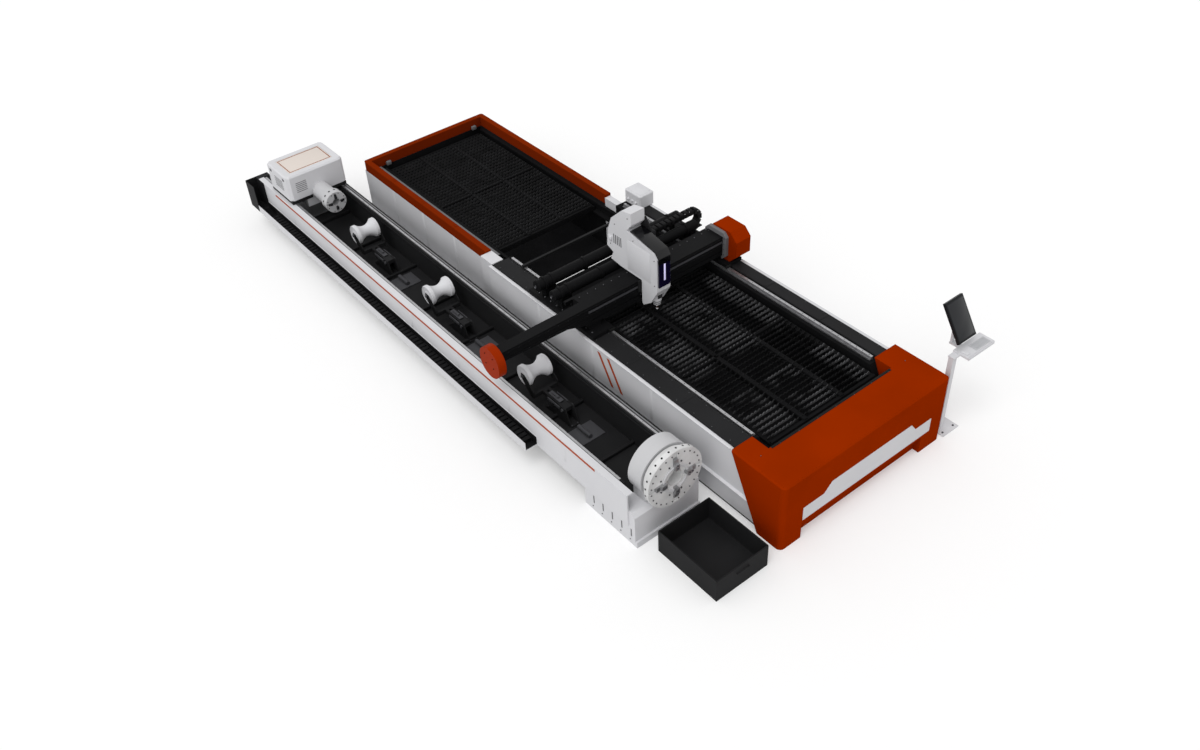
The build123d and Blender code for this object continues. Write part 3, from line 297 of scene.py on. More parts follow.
block(
    form, (panel_low.x + 0.026, panel_low.y + 0.48, panel_high.z - 0.003),
    (panel_high.x, panel_high.y - 0.004, panel_high.z + 0.003), 0.0015,
)
finish("side_joint_strips", form, pale_paint, "machine")
screw_lines = (deck_low.x + 0.03, deck_low.x + 0.228, deck_high.x - 0.03)
form = bmesh.new()
for screw_x, screw_y in product(screw_lines, spread(deck_low.y + 0.12, deck_high.y - 0.12, 16)):
    bolt(form, (screw_x, screw_y, deck_high.z), (0, 0, 1), 0.006)
finish("cover_screws", form, bolt_steel, "machine")
left_joint = (deck_low.x + 0.012, deck_low.x + 0.244)
right_joint = (deck_high.x - 0.176, deck_high.x - 0.012)
form = bmesh.new()
for joint_y, (joint_left, joint_right) in product(
    spread(deck_low.y, deck_high.y, 6)[1:-1], (left_joint, right_joint)
):
    block(
        form, (joint_left, joint_y - 0.02, deck_high.z),
        (joint_right, joint_y + 0.02, deck_high.z + 0.003), 0.001,
    )
finish("cover_joints", form, black_paint, "machine")
box_low, box_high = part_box("drive_box")
lid_height = 0.004
gland_z = box_low.z + 0.07
form = bmesh.new()
block(
    form, (box_low.x + 0.035, box_low.y + 0.035, box_high.z - 0.002),
    (box_high.x - 0.035, box_high.y - 0.035, box_high.z + lid_height), 0.003,
)
for gland_y in (box_low.y + 0.09, box_low.y + 0.175, box_low.y + 0.26):
    for reach, radius in ((0.02, 0.018), (0.03, 0.011)):
        rod(form, (box_low.x - reach, gland_y, gland_z), (box_low.x, gland_y, gland_z), radius)
for screw_x, screw_y in product(
    (box_low.x + 0.05, box_high.x - 0.05), (box_low.y + 0.05, box_high.y - 0.05)
):
    bolt(form, (screw_x, screw_y, box_high.z + lid_height), (0, 0, 1), 0.006)
finish("drive_box_lid", form, pale_paint, "machine")

# Exchange table: a welded pit behind pale skirts, with a rust orange rim that is capped by
# folded joint plates, and a grey step inside it that guides the pallet in.
rim_paint = painted("rim_paint", (122, 38, 6), rough=0.5, edge=0.008, shine=0.0)
step_grey = painted("step_grey", (112, 112, 114), rough=0.6, tone=0.1)
dress(black_steel_and_pit_shade, "exchange_frame")
dress(pale_paint, "exchange_skirt")
dress(rim_paint, "exchange_rim")
rim_low, rim_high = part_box("exchange_rim")
rim_width = 0.09
form = bmesh.new()
for joint_y, joint_x in product(
    spread(rim_low.y, rim_high.y, 5)[1:-1], (rim_low.x, rim_high.x - rim_width)
):
    block(
        form, (joint_x + 0.003, joint_y - 0.035, rim_high.z - 0.001),
        (joint_x + rim_width - 0.003, joint_y + 0.035, rim_high.z + 0.003), 0.001,
    )
    for side in (-0.02, 0.02):
        bolt(form, (joint_x + rim_width / 2, joint_y + side, rim_high.z + 0.003), (0, 0, 1), 0.005)
finish("rim_joints", form, rim_paint, "machine")
step_left = rim_low.x + rim_width
step_rear = rim_high.y - rim_width
step_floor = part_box("exchange_frame")[1].z
step_sheet = 0.012
form = bmesh.new()
block(
    form, (step_left, rim_low.y + 0.01, step_floor),
    (step_left + step_sheet, step_rear, step_floor + 0.07), 0.004,
)
block(
    form, (step_left + step_sheet, rim_low.y + 0.01, step_floor),
    (pit_left - step_sheet, step_rear, step_floor + 0.006), 0.002,
)
for stop_x in (pit_left + 0.12, pit_right - 0.12):
    block(
        form, (stop_x - 0.04, step_rear - 0.05, step_floor),
        (stop_x + 0.04, step_rear - 0.002, step_floor + 0.06), 0.006,
    )
finish("rim_step", form, step_grey, "machine")
skirt_low, skirt_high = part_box("exchange_skirt")
strip_bottom = 0.05
strip_top = skirt_high.z - 0.01
strip_half = 0.025
form = bmesh.new()
for seam_y, face_x in product(
    spread(skirt_low.y, skirt_high.y, 5)[1:-1], (skirt_low.x - 0.0015, skirt_high.x - 0.001)
):
    block(
        form, (face_x, seam_y - strip_half, strip_bottom),
        (face_x + 0.0025, seam_y + strip_half, strip_top), 0.001,
    )
for seam_x in spread(skirt_low.x, skirt_high.x, 4)[1:-1]:
    block(
        form, (seam_x - strip_half, skirt_high.y - 0.001, strip_bottom),
        (seam_x + strip_half, skirt_high.y + 0.0015, strip_top), 0.001,
    )
finish("skirt_joints", form, pale_paint, "machine")


# Pallets: welded frames with upright slats of plain cut steel, laser cut with teeth along
# the top. The slats of the one in the bed carry a painted highlight, bright patches of
# colour that stand in for light catching their tops.
def slats_with_painted_highlight(name, columns, rows, highlight_colour, dark):
    """Cut steel that is dark with soot, with a painted highlight within the given columns and rows.
    """
    material = painted(name, dark, rough=0.5, tone=0.3, cloud_size=7, edge=0.001, metal=0.3)
    tree = material.node_tree
    place = add_node(tree, "ShaderNodeTexCoord")
    split = add_node(tree, "ShaderNodeSeparateXYZ")
    both = add_node(tree, "ShaderNodeMath")
    both.operation = "MULTIPLY"
    wire(tree, (place, "Object", split, "Vector"))
    margin = 0.3
    fade = 0.05
    for entry, axis, stretches in ((0, "X", columns), (1, "Y", rows)):
        first = stretches[0][0] - margin
        last = stretches[-1][1] + margin
        scale = add_node(tree, "ShaderNodeMapRange", {"From Min": first, "From Max": last})
        ramp = add_node(tree, "ShaderNodeValToRGB")
        stops = ramp.color_ramp.elements
        stops[0].color = (0, 0, 0, 1)
        stops[1].color = (0, 0, 0, 1)
        for low, high in stretches:
            for stop_at, level in (
                (low - fade, 0), (low + fade, 1), (high - fade, 1), (high + fade, 0)
            ):
                stop = stops.new((stop_at - first) / (last - first))
                stop.color = (level, level, level, 1)
        wire(
            tree, (split, axis, scale, "Value"), (scale, "Result", ramp, "Fac"),
            (ramp, "Color", both, entry),
        )
    # Noise breaks the painted highlight into patches inside the columns and rows.
    highlight_patches = add_node(tree, "ShaderNodeTexNoise", {"Scale": 2.6, "Detail": 3})
    keep = add_node(tree, "ShaderNodeMapRange", {"From Min": 0.38, "From Max": 0.52})
    share = add_node(tree, "ShaderNodeMath")
    share.operation = "MULTIPLY"
    blend = add_node(tree, "ShaderNodeMix")
    blend.data_type = "RGBA"
    blend.inputs["B"].default_value = screen_colour(*highlight_colour)
    wire(
        tree, (place, "Object", highlight_patches, "Vector"), (highlight_patches, "Fac", keep, "Value"),
        (both, "Value", share, 0), (keep, "Result", share, 1),
        (share, "Value", blend, "Factor"), (tree.nodes["tones"], "Color", blend, "A"),
        (blend, "Result", tree.nodes["Principled BSDF"], "Base Color"),
    )
    return material


def sweep(form, outline, along):
    """Add a flat outline, and sweep it into a solid."""
    face = form.faces.new([form.verts.new(corner) for corner in outline])
    grown = bmesh.ops.extrude_face_region(form, geom=[face])
    moved = [item for item in grown["geom"] if isinstance(item, bmesh.types.BMVert)]
    bmesh.ops.translate(form, verts=moved, vec=along)


def toothed_slats(name, node, material, body):
    """Slats across a pallet, each with a row of pointed teeth along its top edge."""
    low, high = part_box(node)
    pitch = 0.08
    thickness = 0.008
    tooth = 0.058
    root = high.z - 0.022
    tip = high.z - 0.0005
    count = round((high.y - low.y - thickness) / pitch) + 1
    teeth = int((high.x - low.x) / tooth)
    form = bmesh.new()
    for row in range(count):
        slat_y = low.y + row * pitch
        worn = abs(0.004 * random.uniform(-1, 1))
        outline = [(low.x, slat_y, low.z), (high.x, slat_y, low.z)]
        for index in range(teeth, -1, -1):
            tooth_x = low.x + (high.x - low.x) * index / teeth
            outline.append((tooth_x, slat_y, root))
            if index:
                outline.append((tooth_x - tooth * 0.4, slat_y, tip))
                outline.append((tooth_x - tooth * 0.6, slat_y, tip))
        sweep(form, outline, (0, thickness - worn, 0))
    piece = finish(name, form, material, body)
    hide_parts(node)


random.seed(7)
dress(black_steel_and_pit_shade, "pallet_frame_a", "pallet_frame_b")
# Columns and rows over the bed's slats where the painted highlight lies.
highlight_columns = ((left + 0.52, left + 0.96), (left + 1.2, left + 1.68), (left + 1.98, left + 2.24))
highlight_rows = ((front + 0.72, front + 1.5), (front + 2.05, front + 3.45))
slats_painted_highlight = slats_with_painted_highlight("slats_painted_highlight", highlight_columns, highlight_rows, (96, 96, 98), (26, 26, 27))
slats_sooty = painted("slats_sooty", (44, 44, 45), rough=0.7, tone=0.3, cloud_size=7, edge=0.001)
toothed_slats("slats_in_bed", "pallet_slats_a", slats_painted_highlight, "pallet_a")
toothed_slats("slats_in_exchange", "pallet_slats_b", slats_sooty, "pallet_b")
for suffix in ("a", "b"):
    low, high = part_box(f"pallet_frame_{suffix}")
    bar_low = high.z - 0.001
    bar_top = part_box(f"pallet_slats_{suffix}")[1].z - 0.012
    middle_y = (low.y + high.y) / 2
    form = bmesh.new()
    for bar_x in spread(low.x, high.x, 4)[1:-1]:
        block(
            form, (bar_x - 0.03, low.y + 0.02, bar_low), (bar_x + 0.03, high.y - 0.02, bar_top),
            0.004,
        )
    for edge_y in (low.y + 0.004, high.y - 0.046):
        block(
            form, (low.x + 0.04, edge_y, bar_low),
            (high.x - 0.04, edge_y + 0.042, high.z + 0.02), 0.004,
        )
    block(
        form, (low.x + 0.06, middle_y - 0.025, bar_low),
        (high.x - 0.06, middle_y + 0.025, bar_top), 0.004,
    )
    finish(f"pallet_bars_{suffix}", form, black_steel_and_pit_shade, f"pallet_{suffix}")

# Tube bed: a long channel of welded black steel beside the main bed, with cross ribs, and a
# pale folded sheet with a copper pinstripe on its outer side. Screws hold its rails down,
# and a rack lies beside one of them.
dress(black_paint, "tube_bed", "rear_chain_guard", "support_brackets")
dress(pale_paint, "tube_side_cover", "chain_trough", "front_base")
tube_low, tube_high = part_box("tube_bed")
cover_low, cover_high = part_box("tube_side_cover")
channel_left = cover_low.x + 0.14
channel_right = left - 0.32
channel_floor = tube_high.z - 0.42
tube_rail_top = tube_high.z + 0.025
rib_pitch = 1.0
form = bmesh.new()
for rib in range(9):
    rib_y = tube_low.y + 0.75 + rib * rib_pitch
    block(
        form, (channel_left, rib_y - 0.02, channel_floor),
        (channel_right, rib_y + 0.02, channel_floor + 0.05), 0.004,
    )
for wall_x in (channel_left, channel_right - 0.012):
    block(
        form, (wall_x, tube_low.y + 0.05, tube_high.z - 0.05),
        (wall_x + 0.012, tube_high.y - 0.14, tube_high.z - 0.03), 0.003,
    )
finish("channel_ribs", form, black_paint, "machine")
form = bmesh.new()
block(
    form, (channel_left + 0.03, tube_high.y - 0.95, channel_floor + 0.001),
    (channel_right - 0.03, tube_high.y - 0.2, channel_floor + 0.02), 0.006,
)
finish("channel_floor_plate", form, step_grey, "machine")
plug_pitch = 0.15
plug_count = int((tube_high.y - tube_low.y - 2 * plug_pitch) / plug_pitch)
form = bmesh.new()
for rail_x, step in product((cover_low.x + 0.125, left - 0.29), range(plug_count)):
    plug_y = tube_low.y + plug_pitch + step * plug_pitch
    rod(
        form, (rail_x, plug_y, tube_rail_top - 0.005), (rail_x, plug_y, tube_rail_top + 0.0004),
        0.006, sides=12,
    )
finish("tube_rail_plugs", form, black_rubber, "machine")
rack_x = left - 0.245
rack_pitch = 0.016
form = bmesh.new()
toothed_rack(
    form, (rack_x - 0.008, tube_low.y + 0.1, tube_high.z),
    (rack_x + 0.008, tube_high.y - 0.05, tube_high.z + 0.02), tube_high.z + 0.014, rack_pitch,
    int((tube_high.y - tube_low.y - 0.17) / rack_pitch),
)
finish("tube_rack", form, rail_steel, "machine")
joint_face = cover_low.x - 0.0015
form = bmesh.new()
for seam_y in spread(cover_low.y, cover_high.y, 9)[1:-1]:
    block(
        form, (joint_face, seam_y - 0.02, cover_low.z + 0.16),
        (cover_low.x + 0.001, seam_y + 0.02, cover_high.z - 0.05), 0.0006,
    )
    for rivet_z in (cover_low.z + 0.2, cover_low.z + 0.36):
        bolt(form, (joint_face, seam_y, rivet_z), (-1, 0, 0), 0.005)
finish("side_cover_joints", form, pale_paint, "machine")
trough_low, trough_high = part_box("chain_trough")
shelf = trough_low.z - 0.02
form = bmesh.new()
for bracket_y in spread(trough_low.y + 0.3, trough_high.y - 0.3, 7):
    block(
        form, (trough_low.x + 0.02, bracket_y - 0.03, shelf),
        (trough_high.x + 0.004, bracket_y + 0.03, trough_low.z - 0.0005), 0.003,
    )
    block(
        form, (trough_high.x - 0.02, bracket_y - 0.03, shelf),
        (trough_high.x + 0.012, bracket_y + 0.03, trough_low.z + 0.05), 0.003,
    )
finish("trough_brackets", form, black_paint, "machine")

# Drag chains: black moulded links, each a hollow box of side plates and cross bars. The
# long chain lies in its trough, over a dark sheet of painted shade on the trough's floor
# and inner walls, and the head's runs over, round and back.
chain_black = painted("chain_black", (24, 24, 25), rough=0.55, tone=0.2, cloud_size=12, shine=0.06)


def chain_link(length, height, width):
    """One link: two side plates with an eye each, and bars across the top and bottom."""
    form = bmesh.new()
    plate = width * 0.09
    for side in (-1, 1):
        middle = side * (width / 2 - plate / 2)
        block(
            form, (-length * 0.46, middle - plate / 2, -height * 0.46),
            (length * 0.46, middle + plate / 2, height * 0.46), height * 0.06,
        )
        rod(
            form, (length * 0.3, middle - plate * 0.5, 0), (length * 0.3, middle + plate * 0.5, 0),
            height * 0.16, sides=12,
        )
    for level in (-1, 1):
        bar_z = level * height * 0.44
        block(
            form, (-length * 0.36, -width / 2 + plate, bar_z - height * 0.05),
            (length * 0.36, width / 2 - plate, bar_z + height * 0.05), height * 0.02,
        )
    mesh = bpy.data.meshes.new("link")
    form.to_mesh(mesh)
    form.free()
    return mesh


def lay_link(form, link, centre, along, up):
    """Add a copy of a link at a place, turned to run along the chain."""
    along = Vector(along)
    up = Vector(up)
    turn = Matrix((along, up.cross(along), up)).transposed().to_4x4()
    copy = link.copy()
    copy.transform(Matrix.Translation(centre) @ turn)
    form.from_mesh(copy)
    bpy.data.meshes.remove(copy)


chain_low, chain_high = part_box("side_chain")
# A thin dark sheet over the trough's floor and inner walls: painted shade inside the trough.
shade_sheet = 0.0015
shade_sheet_left = trough_low.x + 0.006
shade_sheet_right = trough_high.x - 0.006
shade_sheet_front = trough_low.y + 0.002
shade_sheet_rear = trough_high.y - 0.002
form = bmesh.new()
block(
    form, (shade_sheet_left, shade_sheet_front, chain_low.z - 0.0005),
    (shade_sheet_right, shade_sheet_rear, chain_low.z + shade_sheet), 0.0005,
)
for wall_x in (shade_sheet_left, shade_sheet_right - shade_sheet):
    block(
        form, (wall_x, shade_sheet_front, chain_low.z),
        (wall_x + shade_sheet, shade_sheet_rear, trough_high.z - 0.004), 0.0005,
    )
finish("trough_painted_shade", form, chain_black, "machine")
link_length = 0.08
link_mesh = chain_link(link_length, chain_high.z - chain_low.z, chain_high.x - chain_low.x)
chain_x = (chain_low.x + chain_high.x) / 2
chain_z = (chain_low.z + chain_high.z) / 2
form = bmesh.new()
for link in range(int((chain_high.y - chain_low.y) / link_length)):
    centre = (chain_x, chain_low.y + (link + 0.5) * link_length, chain_z)
    lay_link(form, link_mesh, centre, (0, 1, 0), (0, 0, 1))
piece = finish("side_chain_links", form, chain_black, "machine")
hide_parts("side_chain")
loop_low, loop_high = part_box("x_chain")
loop_radius = (loop_high.z - loop_low.z) / 2
loop_height = 0.08
path_radius = loop_radius - loop_height / 2
loop_x = loop_high.x - loop_radius
loop_y = (loop_low.y + loop_high.y) / 2
loop_z = (loop_low.z + loop_high.z) / 2
run_links = int((loop_x - loop_low.x) / link_length)
link_mesh = chain_link(link_length, loop_height * 0.97, loop_high.y - loop_low.y)
form = bmesh.new()
for level, link in product((-1, 1), range(run_links)):
    centre = (loop_x - (link + 0.5) * link_length, loop_y, loop_z + level * path_radius)
    lay_link(form, link_mesh, centre, (1, 0, 0), (0, 0, 1))
turn_links = round(math.pi * path_radius / link_length)
for link in range(turn_links):
    angle = math.pi * (-0.5 + (link + 0.5) / turn_links)
    out = Vector((math.cos(angle), 0, math.sin(angle)))
    centre = Vector((loop_x, loop_y, loop_z)) + out * path_radius
    lay_link(form, link_mesh, centre, (-out.z, 0, out.x), out)
piece = finish("head_chain_links", form, chain_black, "gantry")
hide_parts("x_chain")

# Front chuck: a painted steel ring on a pedestal, with a slotted disc that turns in it, a
# row of round holes in the disc's rim, drawn as dark caps of painted shade, bolts round its
# face and four hard jaws.
chuck_paint = painted("chuck_paint", (196, 196, 198), rough=0.38, tone=0.05)
disc_steel = painted(
    "disc_steel", (214, 214, 214), rough=0.45, tone=0.12, cloud_size=5, edge=0.002,
    metal=0.05,
)
dress(chuck_paint, "front_chuck_housing", "rear_chuck")
dress(disc_steel, "front_chuck")
disc_low, disc_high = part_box("front_chuck")
ring_low, ring_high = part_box("front_chuck_housing")
axis_x = (disc_low.x + disc_high.x) / 2
axis_z = (disc_low.z + disc_high.z) / 2
disc_radius = (disc_high.x - disc_low.x) / 2
ring_radius = (ring_high.x - ring_low.x) / 2
disc_face = disc_low.y


def round_places(count, radius, place_y, first):
    """Places round the tube's axis from a first angle, each with its way out."""
    for index in range(count):
        angle = math.radians(first) + math.tau * index / count
        out = Vector((math.cos(angle), 0, math.sin(angle)))
        place_x = axis_x + radius * math.cos(angle)
        place_z = axis_z + radius * math.sin(angle)
        yield Vector((place_x, place_y, place_z)), out


form = bmesh.new()
turned(
    form,
    [(-0.001, 0.155), (-0.014, 0.158), (-0.016, 0.168), (-0.016, 0.186), (-0.012, 0.192),
     (-0.001, 0.194)],
    (axis_x, disc_face, axis_z), (0, 1, 0), 96,
)
finish("front_chuck_ring", form, chuck_paint, "front_spindle")
form = bmesh.new()
for radius, count, size in ((0.355, 24, 0.009), (0.23, 8, 0.011)):
    for seat, _ in round_places(count, radius, disc_face, 22.5):
        bolt(form, seat, (0, -1, 0), size, 16)
finish("front_chuck_bolts", form, bolt_steel, "front_spindle")
# Dark caps on the disc's rim are painted shade that stands in for its round bar holes.
form = bmesh.new()
for centre, out in round_places(24, disc_radius - 0.0005, disc_face + 0.048, 7.5):
    rod(form, centre - out * 0.02, centre + out * 0.0012, 0.013, sides=16)
finish("front_chuck_bar_hole_shade", form, black_steel_and_pit_shade, "front_spindle")
form = bmesh.new()
for seat, _ in round_places(24, ring_radius - 0.03, ring_high.y, 7.5):
    if seat.z > ring_low.z + 0.1:
        bolt(form, seat, (0, 1, 0), 0.011)
turned(
    form,
    [(0.0005, 0.17), (0.012, 0.17), (0.016, 0.176), (0.016, 0.2), (0.012, 0.206),
     (0.0005, 0.206)],
    (axis_x, ring_high.y, axis_z), (0, 1, 0), 72,
)
finish("front_ring_back", form, bolt_steel, "machine")
jaw_black = painted("jaw_black", (40, 40, 42), rough=0.45, tone=0.2, cloud_size=3, edge=0.002)
for index in range(1, 5):
    dress(rail_steel, f"front_jaw_{index}")
    dress(jaw_black, f"rear_jaw_{index}")
    low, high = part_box(f"front_jaw_{index}")
    centre = (low + high) / 2
    out = Vector((centre.x - axis_x, 0, centre.z - axis_z)).normalized()
    form = bmesh.new()
    for reach in (-0.042, 0.0):
        bolt(form, Vector((centre.x, low.y, centre.z)) + out * reach, (0, -1, 0), 0.011, 16)
    finish(f"front_jaw_bolts_{index}", form, bolt_steel, f"front_grip_{index}")
base_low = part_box("front_base")[0]
form = bmesh.new()
for louvre_y in spread(base_low.y + 0.09, base_low.y + 0.77, 5):
    bolt(form, (base_low.x, louvre_y + 0.03, base_low.z + 0.07), (-1, 0, 0), 0.008)
    block(
        form, (base_low.x - 0.002, louvre_y, base_low.z + 0.13),
        (base_low.x + 0.001, louvre_y + 0.02, base_low.z + 0.25), 0.001,
    )
finish("base_louvres", form, step_grey, "machine")

# Rear chuck: a pale gearbox housing that rides on both tube rails, with a brown outlined
# lid, louvres in two sides, latches, and a turning nose that carries four blackened jaws.
dress(pale_paint, "rear_chuck_box")
dress(black_paint, "rear_chuck_base")
brown_line = painted("brown_line", (150, 92, 66), rough=0.5)
lid_paint = painted("lid_paint", (222, 212, 204), rough=0.5, tone=0.02)
case_low, case_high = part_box("rear_chuck_box")
lid_inset = 0.112
lid_top = case_high.z - 0.001
form = bmesh.new()
block(
    form, (case_low.x + lid_inset, case_low.y + lid_inset, case_high.z - 0.01),
    (case_high.x - lid_inset, case_high.y - lid_inset, lid_top), 0.003,
)
finish("rear_box_lid", form, lid_paint, "rear_carriage")
line_width = 0.014
line_inset = 0.13
line_left = case_low.x + line_inset
line_right = case_high.x - line_inset
line_front = case_low.y + line_inset
line_rear = case_high.y - line_inset
form = bmesh.new()
for x_low, y_low, x_high, y_high in (
    (line_left, line_front, line_right, line_front + line_width),
    (line_left, line_rear - line_width, line_right, line_rear),
    (line_left, line_front + line_width, line_left + line_width, line_rear - line_width),
    (line_right - line_width, line_front + line_width, line_right, line_rear - line_width),
):
    block(form, (x_low, y_low, lid_top - 0.001), (x_high, y_high, lid_top + 0.0015), 0.0004)
finish("rear_box_outline", form, brown_line, "rear_carriage")
louvre_low = 0.96
louvre_pitch = 0.03
form = bmesh.new()
for louvre in range(6):
    louvre_z = louvre_low + louvre * louvre_pitch
    block(
        form, (case_low.x + 0.12, case_low.y - 0.003, louvre_z),
        (case_low.x + 0.3, case_low.y + 0.002, louvre_z + 0.01), 0.0015,
    )
    block(
        form, (case_low.x - 0.003, case_low.y + 0.2, louvre_z),
        (case_low.x + 0.002, case_low.y + 0.46, louvre_z + 0.01), 0.0015,
    )
for latch_y, latch_x in product((case_low.y + 0.14, case_high.y - 0.14), (case_low.x, case_high.x)):
    block(
        form, (latch_x - 0.006, latch_y - 0.03, case_high.z - 0.1),
        (latch_x + 0.006, latch_y + 0.03, case_high.z - 0.06), 0.004,
    )
finish("rear_box_louvres", form, step_grey, "rear_carriage")
nose_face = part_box("rear_chuck")[0].y
form = bmesh.new()
for seat, _ in round_places(8, 0.148, nose_face, 22.5):
    bolt(form, seat, (0, -1, 0), 0.007)
# Dark caps round the nose's rim are painted shade that stands in for holes in it.
for centre, out in round_places(12, 0.1695, nose_face + 0.09, 15):
    rod(form, centre - out * 0.01, centre + out * 0.0015, 0.016, sides=16)
finish("rear_nose_bolts_and_hole_shade", form, black_steel_and_pit_shade, "rear_spindle")
form = bmesh.new()
for wiper_x, wiper_y in product(
    (case_low.x + 0.06, case_high.x - 0.13), (case_low.y + 0.02, case_high.y - 0.09)
):
    block(
        form, (wiper_x, wiper_y, tube_rail_top + 0.002),
        (wiper_x + 0.08, wiper_y + 0.06, tube_rail_top + 0.025), 0.004,
    )
finish("rear_wipers", form, black_rubber, "rear_carriage")

# Tube supports: a waisted white roller in a fork, on an arm that a flat air cylinder lifts
# out of the channel. The arms are cut plate, and socket screws hold their pins.
plate_grey = painted("plate_grey", (70, 70, 73), rough=0.5, tone=0.12)
arm_reach = 0.64
pivot_height = 0.54
flat_end = 0.05
waist_depth = 0.062
for index in range(1, 4):
    dress(black_paint, f"support_arm_{index}")
    low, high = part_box(f"roller_{index}")
    centre = (low + high) / 2
    half = (high.x - low.x) / 2
    rim = (high.z - low.z) / 2
    end = [
        (-half, 0.0155), (-half, rim * 0.45), (-half + 0.006, rim * 0.5),
        (-half + 0.006, rim * 0.86), (-half, rim * 0.9), (-half, rim - 0.008),
        (-half + 0.008, rim), (-half + flat_end, rim),
    ]
    waist = []
    for share in spread(0, 1, 11)[1:-1]:
        dip = waist_depth * math.sin(math.pi * share) ** 0.8
        waist.append((-half + flat_end + 2 * (half - flat_end) * share, rim - dip))
    form = bmesh.new()
    turned(
        form, end + waist + [(-along, out) for along, out in reversed(end)], centre, (1, 0, 0), 72
    )
    piece = finish(f"waisted_roller_{index}", form, pale_paint, f"spin_{index}")
    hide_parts(f"roller_{index}")
    form = bmesh.new()
    arm_low, arm_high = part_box(f"support_arm_{index}")
    for side, face in ((arm_low.x, -1), (arm_high.x, 1)):
        pin_end = side + face * 0.012
        rod(form, (side, centre.y, centre.z), (pin_end, centre.y, centre.z), 0.024)
        bolt(form, (pin_end, centre.y, centre.z), (face, 0, 0), 0.013, 16)
    finish(f"axle_ends_{index}", form, bolt_steel, f"swing_{index}")
    pivot = Vector((centre.x, centre.y - arm_reach, pivot_height))
    tie_z = pivot.z + 0.06
    form = bmesh.new()
    block(
        form, (pivot.x - 0.035, pivot.y + 0.1, pivot.z + 0.031),
        (pivot.x + 0.035, pivot.y + 0.34, pivot.z + 0.046), 0.006,
    )
    rod(form, (pivot.x, pivot.y + 0.16, tie_z), (pivot.x, pivot.y + 0.3, tie_z), 0.016)
    for ear_x in (pivot.x - 0.075, pivot.x + 0.075):
        block(
            form, (ear_x - 0.006, pivot.y + 0.05, pivot.z - 0.02),
            (ear_x + 0.006, pivot.y + 0.3, pivot.z + 0.026), 0.004,
        )
    finish(f"arm_plates_{index}", form, plate_grey, f"swing_{index}")
    form = bmesh.new()
    for side in (-1, 1):
        bolt(form, (pivot.x + side * 0.0705, pivot.y, pivot.z), (side, 0, 0), 0.022, 20)
        for foot_y in (pivot.y - 0.14, pivot.y + 0.34):
            foot = (pivot.x + side * 0.045, foot_y, channel_floor + 0.016)
            bolt(form, foot, (0, 0, 1), 0.009)
    block(
        form, (pivot.x - 0.2, pivot.y - 0.5, channel_floor),
        (pivot.x + 0.2, pivot.y - 0.2, channel_floor + 0.012), 0.004,
    )
    cylinder_z = channel_floor + 0.04
    rod(form, (pivot.x, pivot.y - 0.46, cylinder_z), (pivot.x, pivot.y - 0.22, cylinder_z), 0.03)
    finish(f"bracket_fittings_{index}", form, plate_grey, "machine")

# Scrap bin: a folded black steel tray, with a wire rim welded round its top edge and a
# handle of bent round bar on its front.
bin_black = painted("bin_black", (33, 33, 34), rough=0.5, tone=0.2, edge=0.006, shine=0.06)
dress(bin_black, "scrap_bin")
bin_low, bin_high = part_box("scrap_bin")
rim_inset = 0.006
x_low = bin_low.x + rim_inset
x_high = bin_high.x - rim_inset
y_low = bin_low.y + rim_inset
y_high = bin_high.y - rim_inset
corners = ((x_low, y_low), (x_high, y_low), (x_high, y_high), (x_low, y_high))
form = bmesh.new()
for start, end in zip(corners, corners[1:] + corners[:1]):
    rod(form, (*start, bin_high.z), (*end, bin_high.z), 0.009, sides=16)
handle_x = (bin_low.x + bin_high.x) / 2
handle_y = bin_low.y - 0.012
handle_z = bin_high.z - 0.09
for side_x in (handle_x - 0.09, handle_x + 0.09):
    rod(form, (side_x, handle_y, handle_z), (side_x, bin_low.y + 0.002, handle_z), 0.006, sides=12)
rod(
    form, (handle_x - 0.094, handle_y, handle_z), (handle_x + 0.094, handle_y, handle_z), 0.006,
    sides=12,
)
finish("bin_rim", form, bin_black, "machine")

# Gantry: a black welded beam on two saddles, with a tapering outrigger arm, stiffeners and
# round bars behind it, orange caps at its ends, bolt rows, a rack, and wipers on its saddles.
cap_paint = painted("cap_paint", (146, 40, 1), rough=0.4, edge=0.012, shine=0.03)
gantry_black = painted("gantry_black", (20, 20, 21), rough=0.5, tone=0.16, shine=0.04)
dress(gantry_black, "gantry_beam", "gantry_carriages", "gantry_bars")
dress(cap_paint, "arm_cap")
dress(rust_paint, "end_housing")
dress(step_grey, "housing_bracket")
beam_low, beam_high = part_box("gantry_beam")
bars_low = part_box("gantry_bars")[0]
saddle_low, saddle_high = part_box("gantry_carriages")
beam_front = beam_low.y + 0.012
beam_rail_lines = (1.318, 1.412)
form = bmesh.new()
for rail_z, bolt_x in product(beam_rail_lines, spread(beam_low.x + 0.12, beam_high.x - 0.12, 24)):
    rod(
        form, (bolt_x, beam_low.y + 0.004, rail_z), (bolt_x, beam_low.y - 0.0004, rail_z),
        0.0035, sides=10,
    )
for step in range(18):
    bolt_x = beam_high.x - 0.08 - step * 0.13
    bolt(form, (bolt_x, beam_front + 0.24, beam_high.z), (0, 0, 1), 0.007)
finish("beam_bolts", form, bolt_steel, "gantry")
rack_left = left + 0.1
rack_right = beam_high.x - 0.04
rack_front = beam_front - 0.01
rack_rear = beam_front + 0.001
rack_low = 1.352
rack_pitch = 0.012
form = bmesh.new()
block(form, (rack_left, rack_front, rack_low), (rack_right, rack_rear, rack_low + 0.024))
for tooth in range(int((rack_right - rack_left) / rack_pitch)):
    tooth_x = rack_left + tooth * rack_pitch
    block(
        form, (tooth_x, rack_front, rack_low - 0.006),
        (tooth_x + rack_pitch / 2, rack_rear, rack_low),
    )
finish("beam_rack", form, plate_grey, "gantry")
rib_rear = beam_high.y + 0.03
form = bmesh.new()
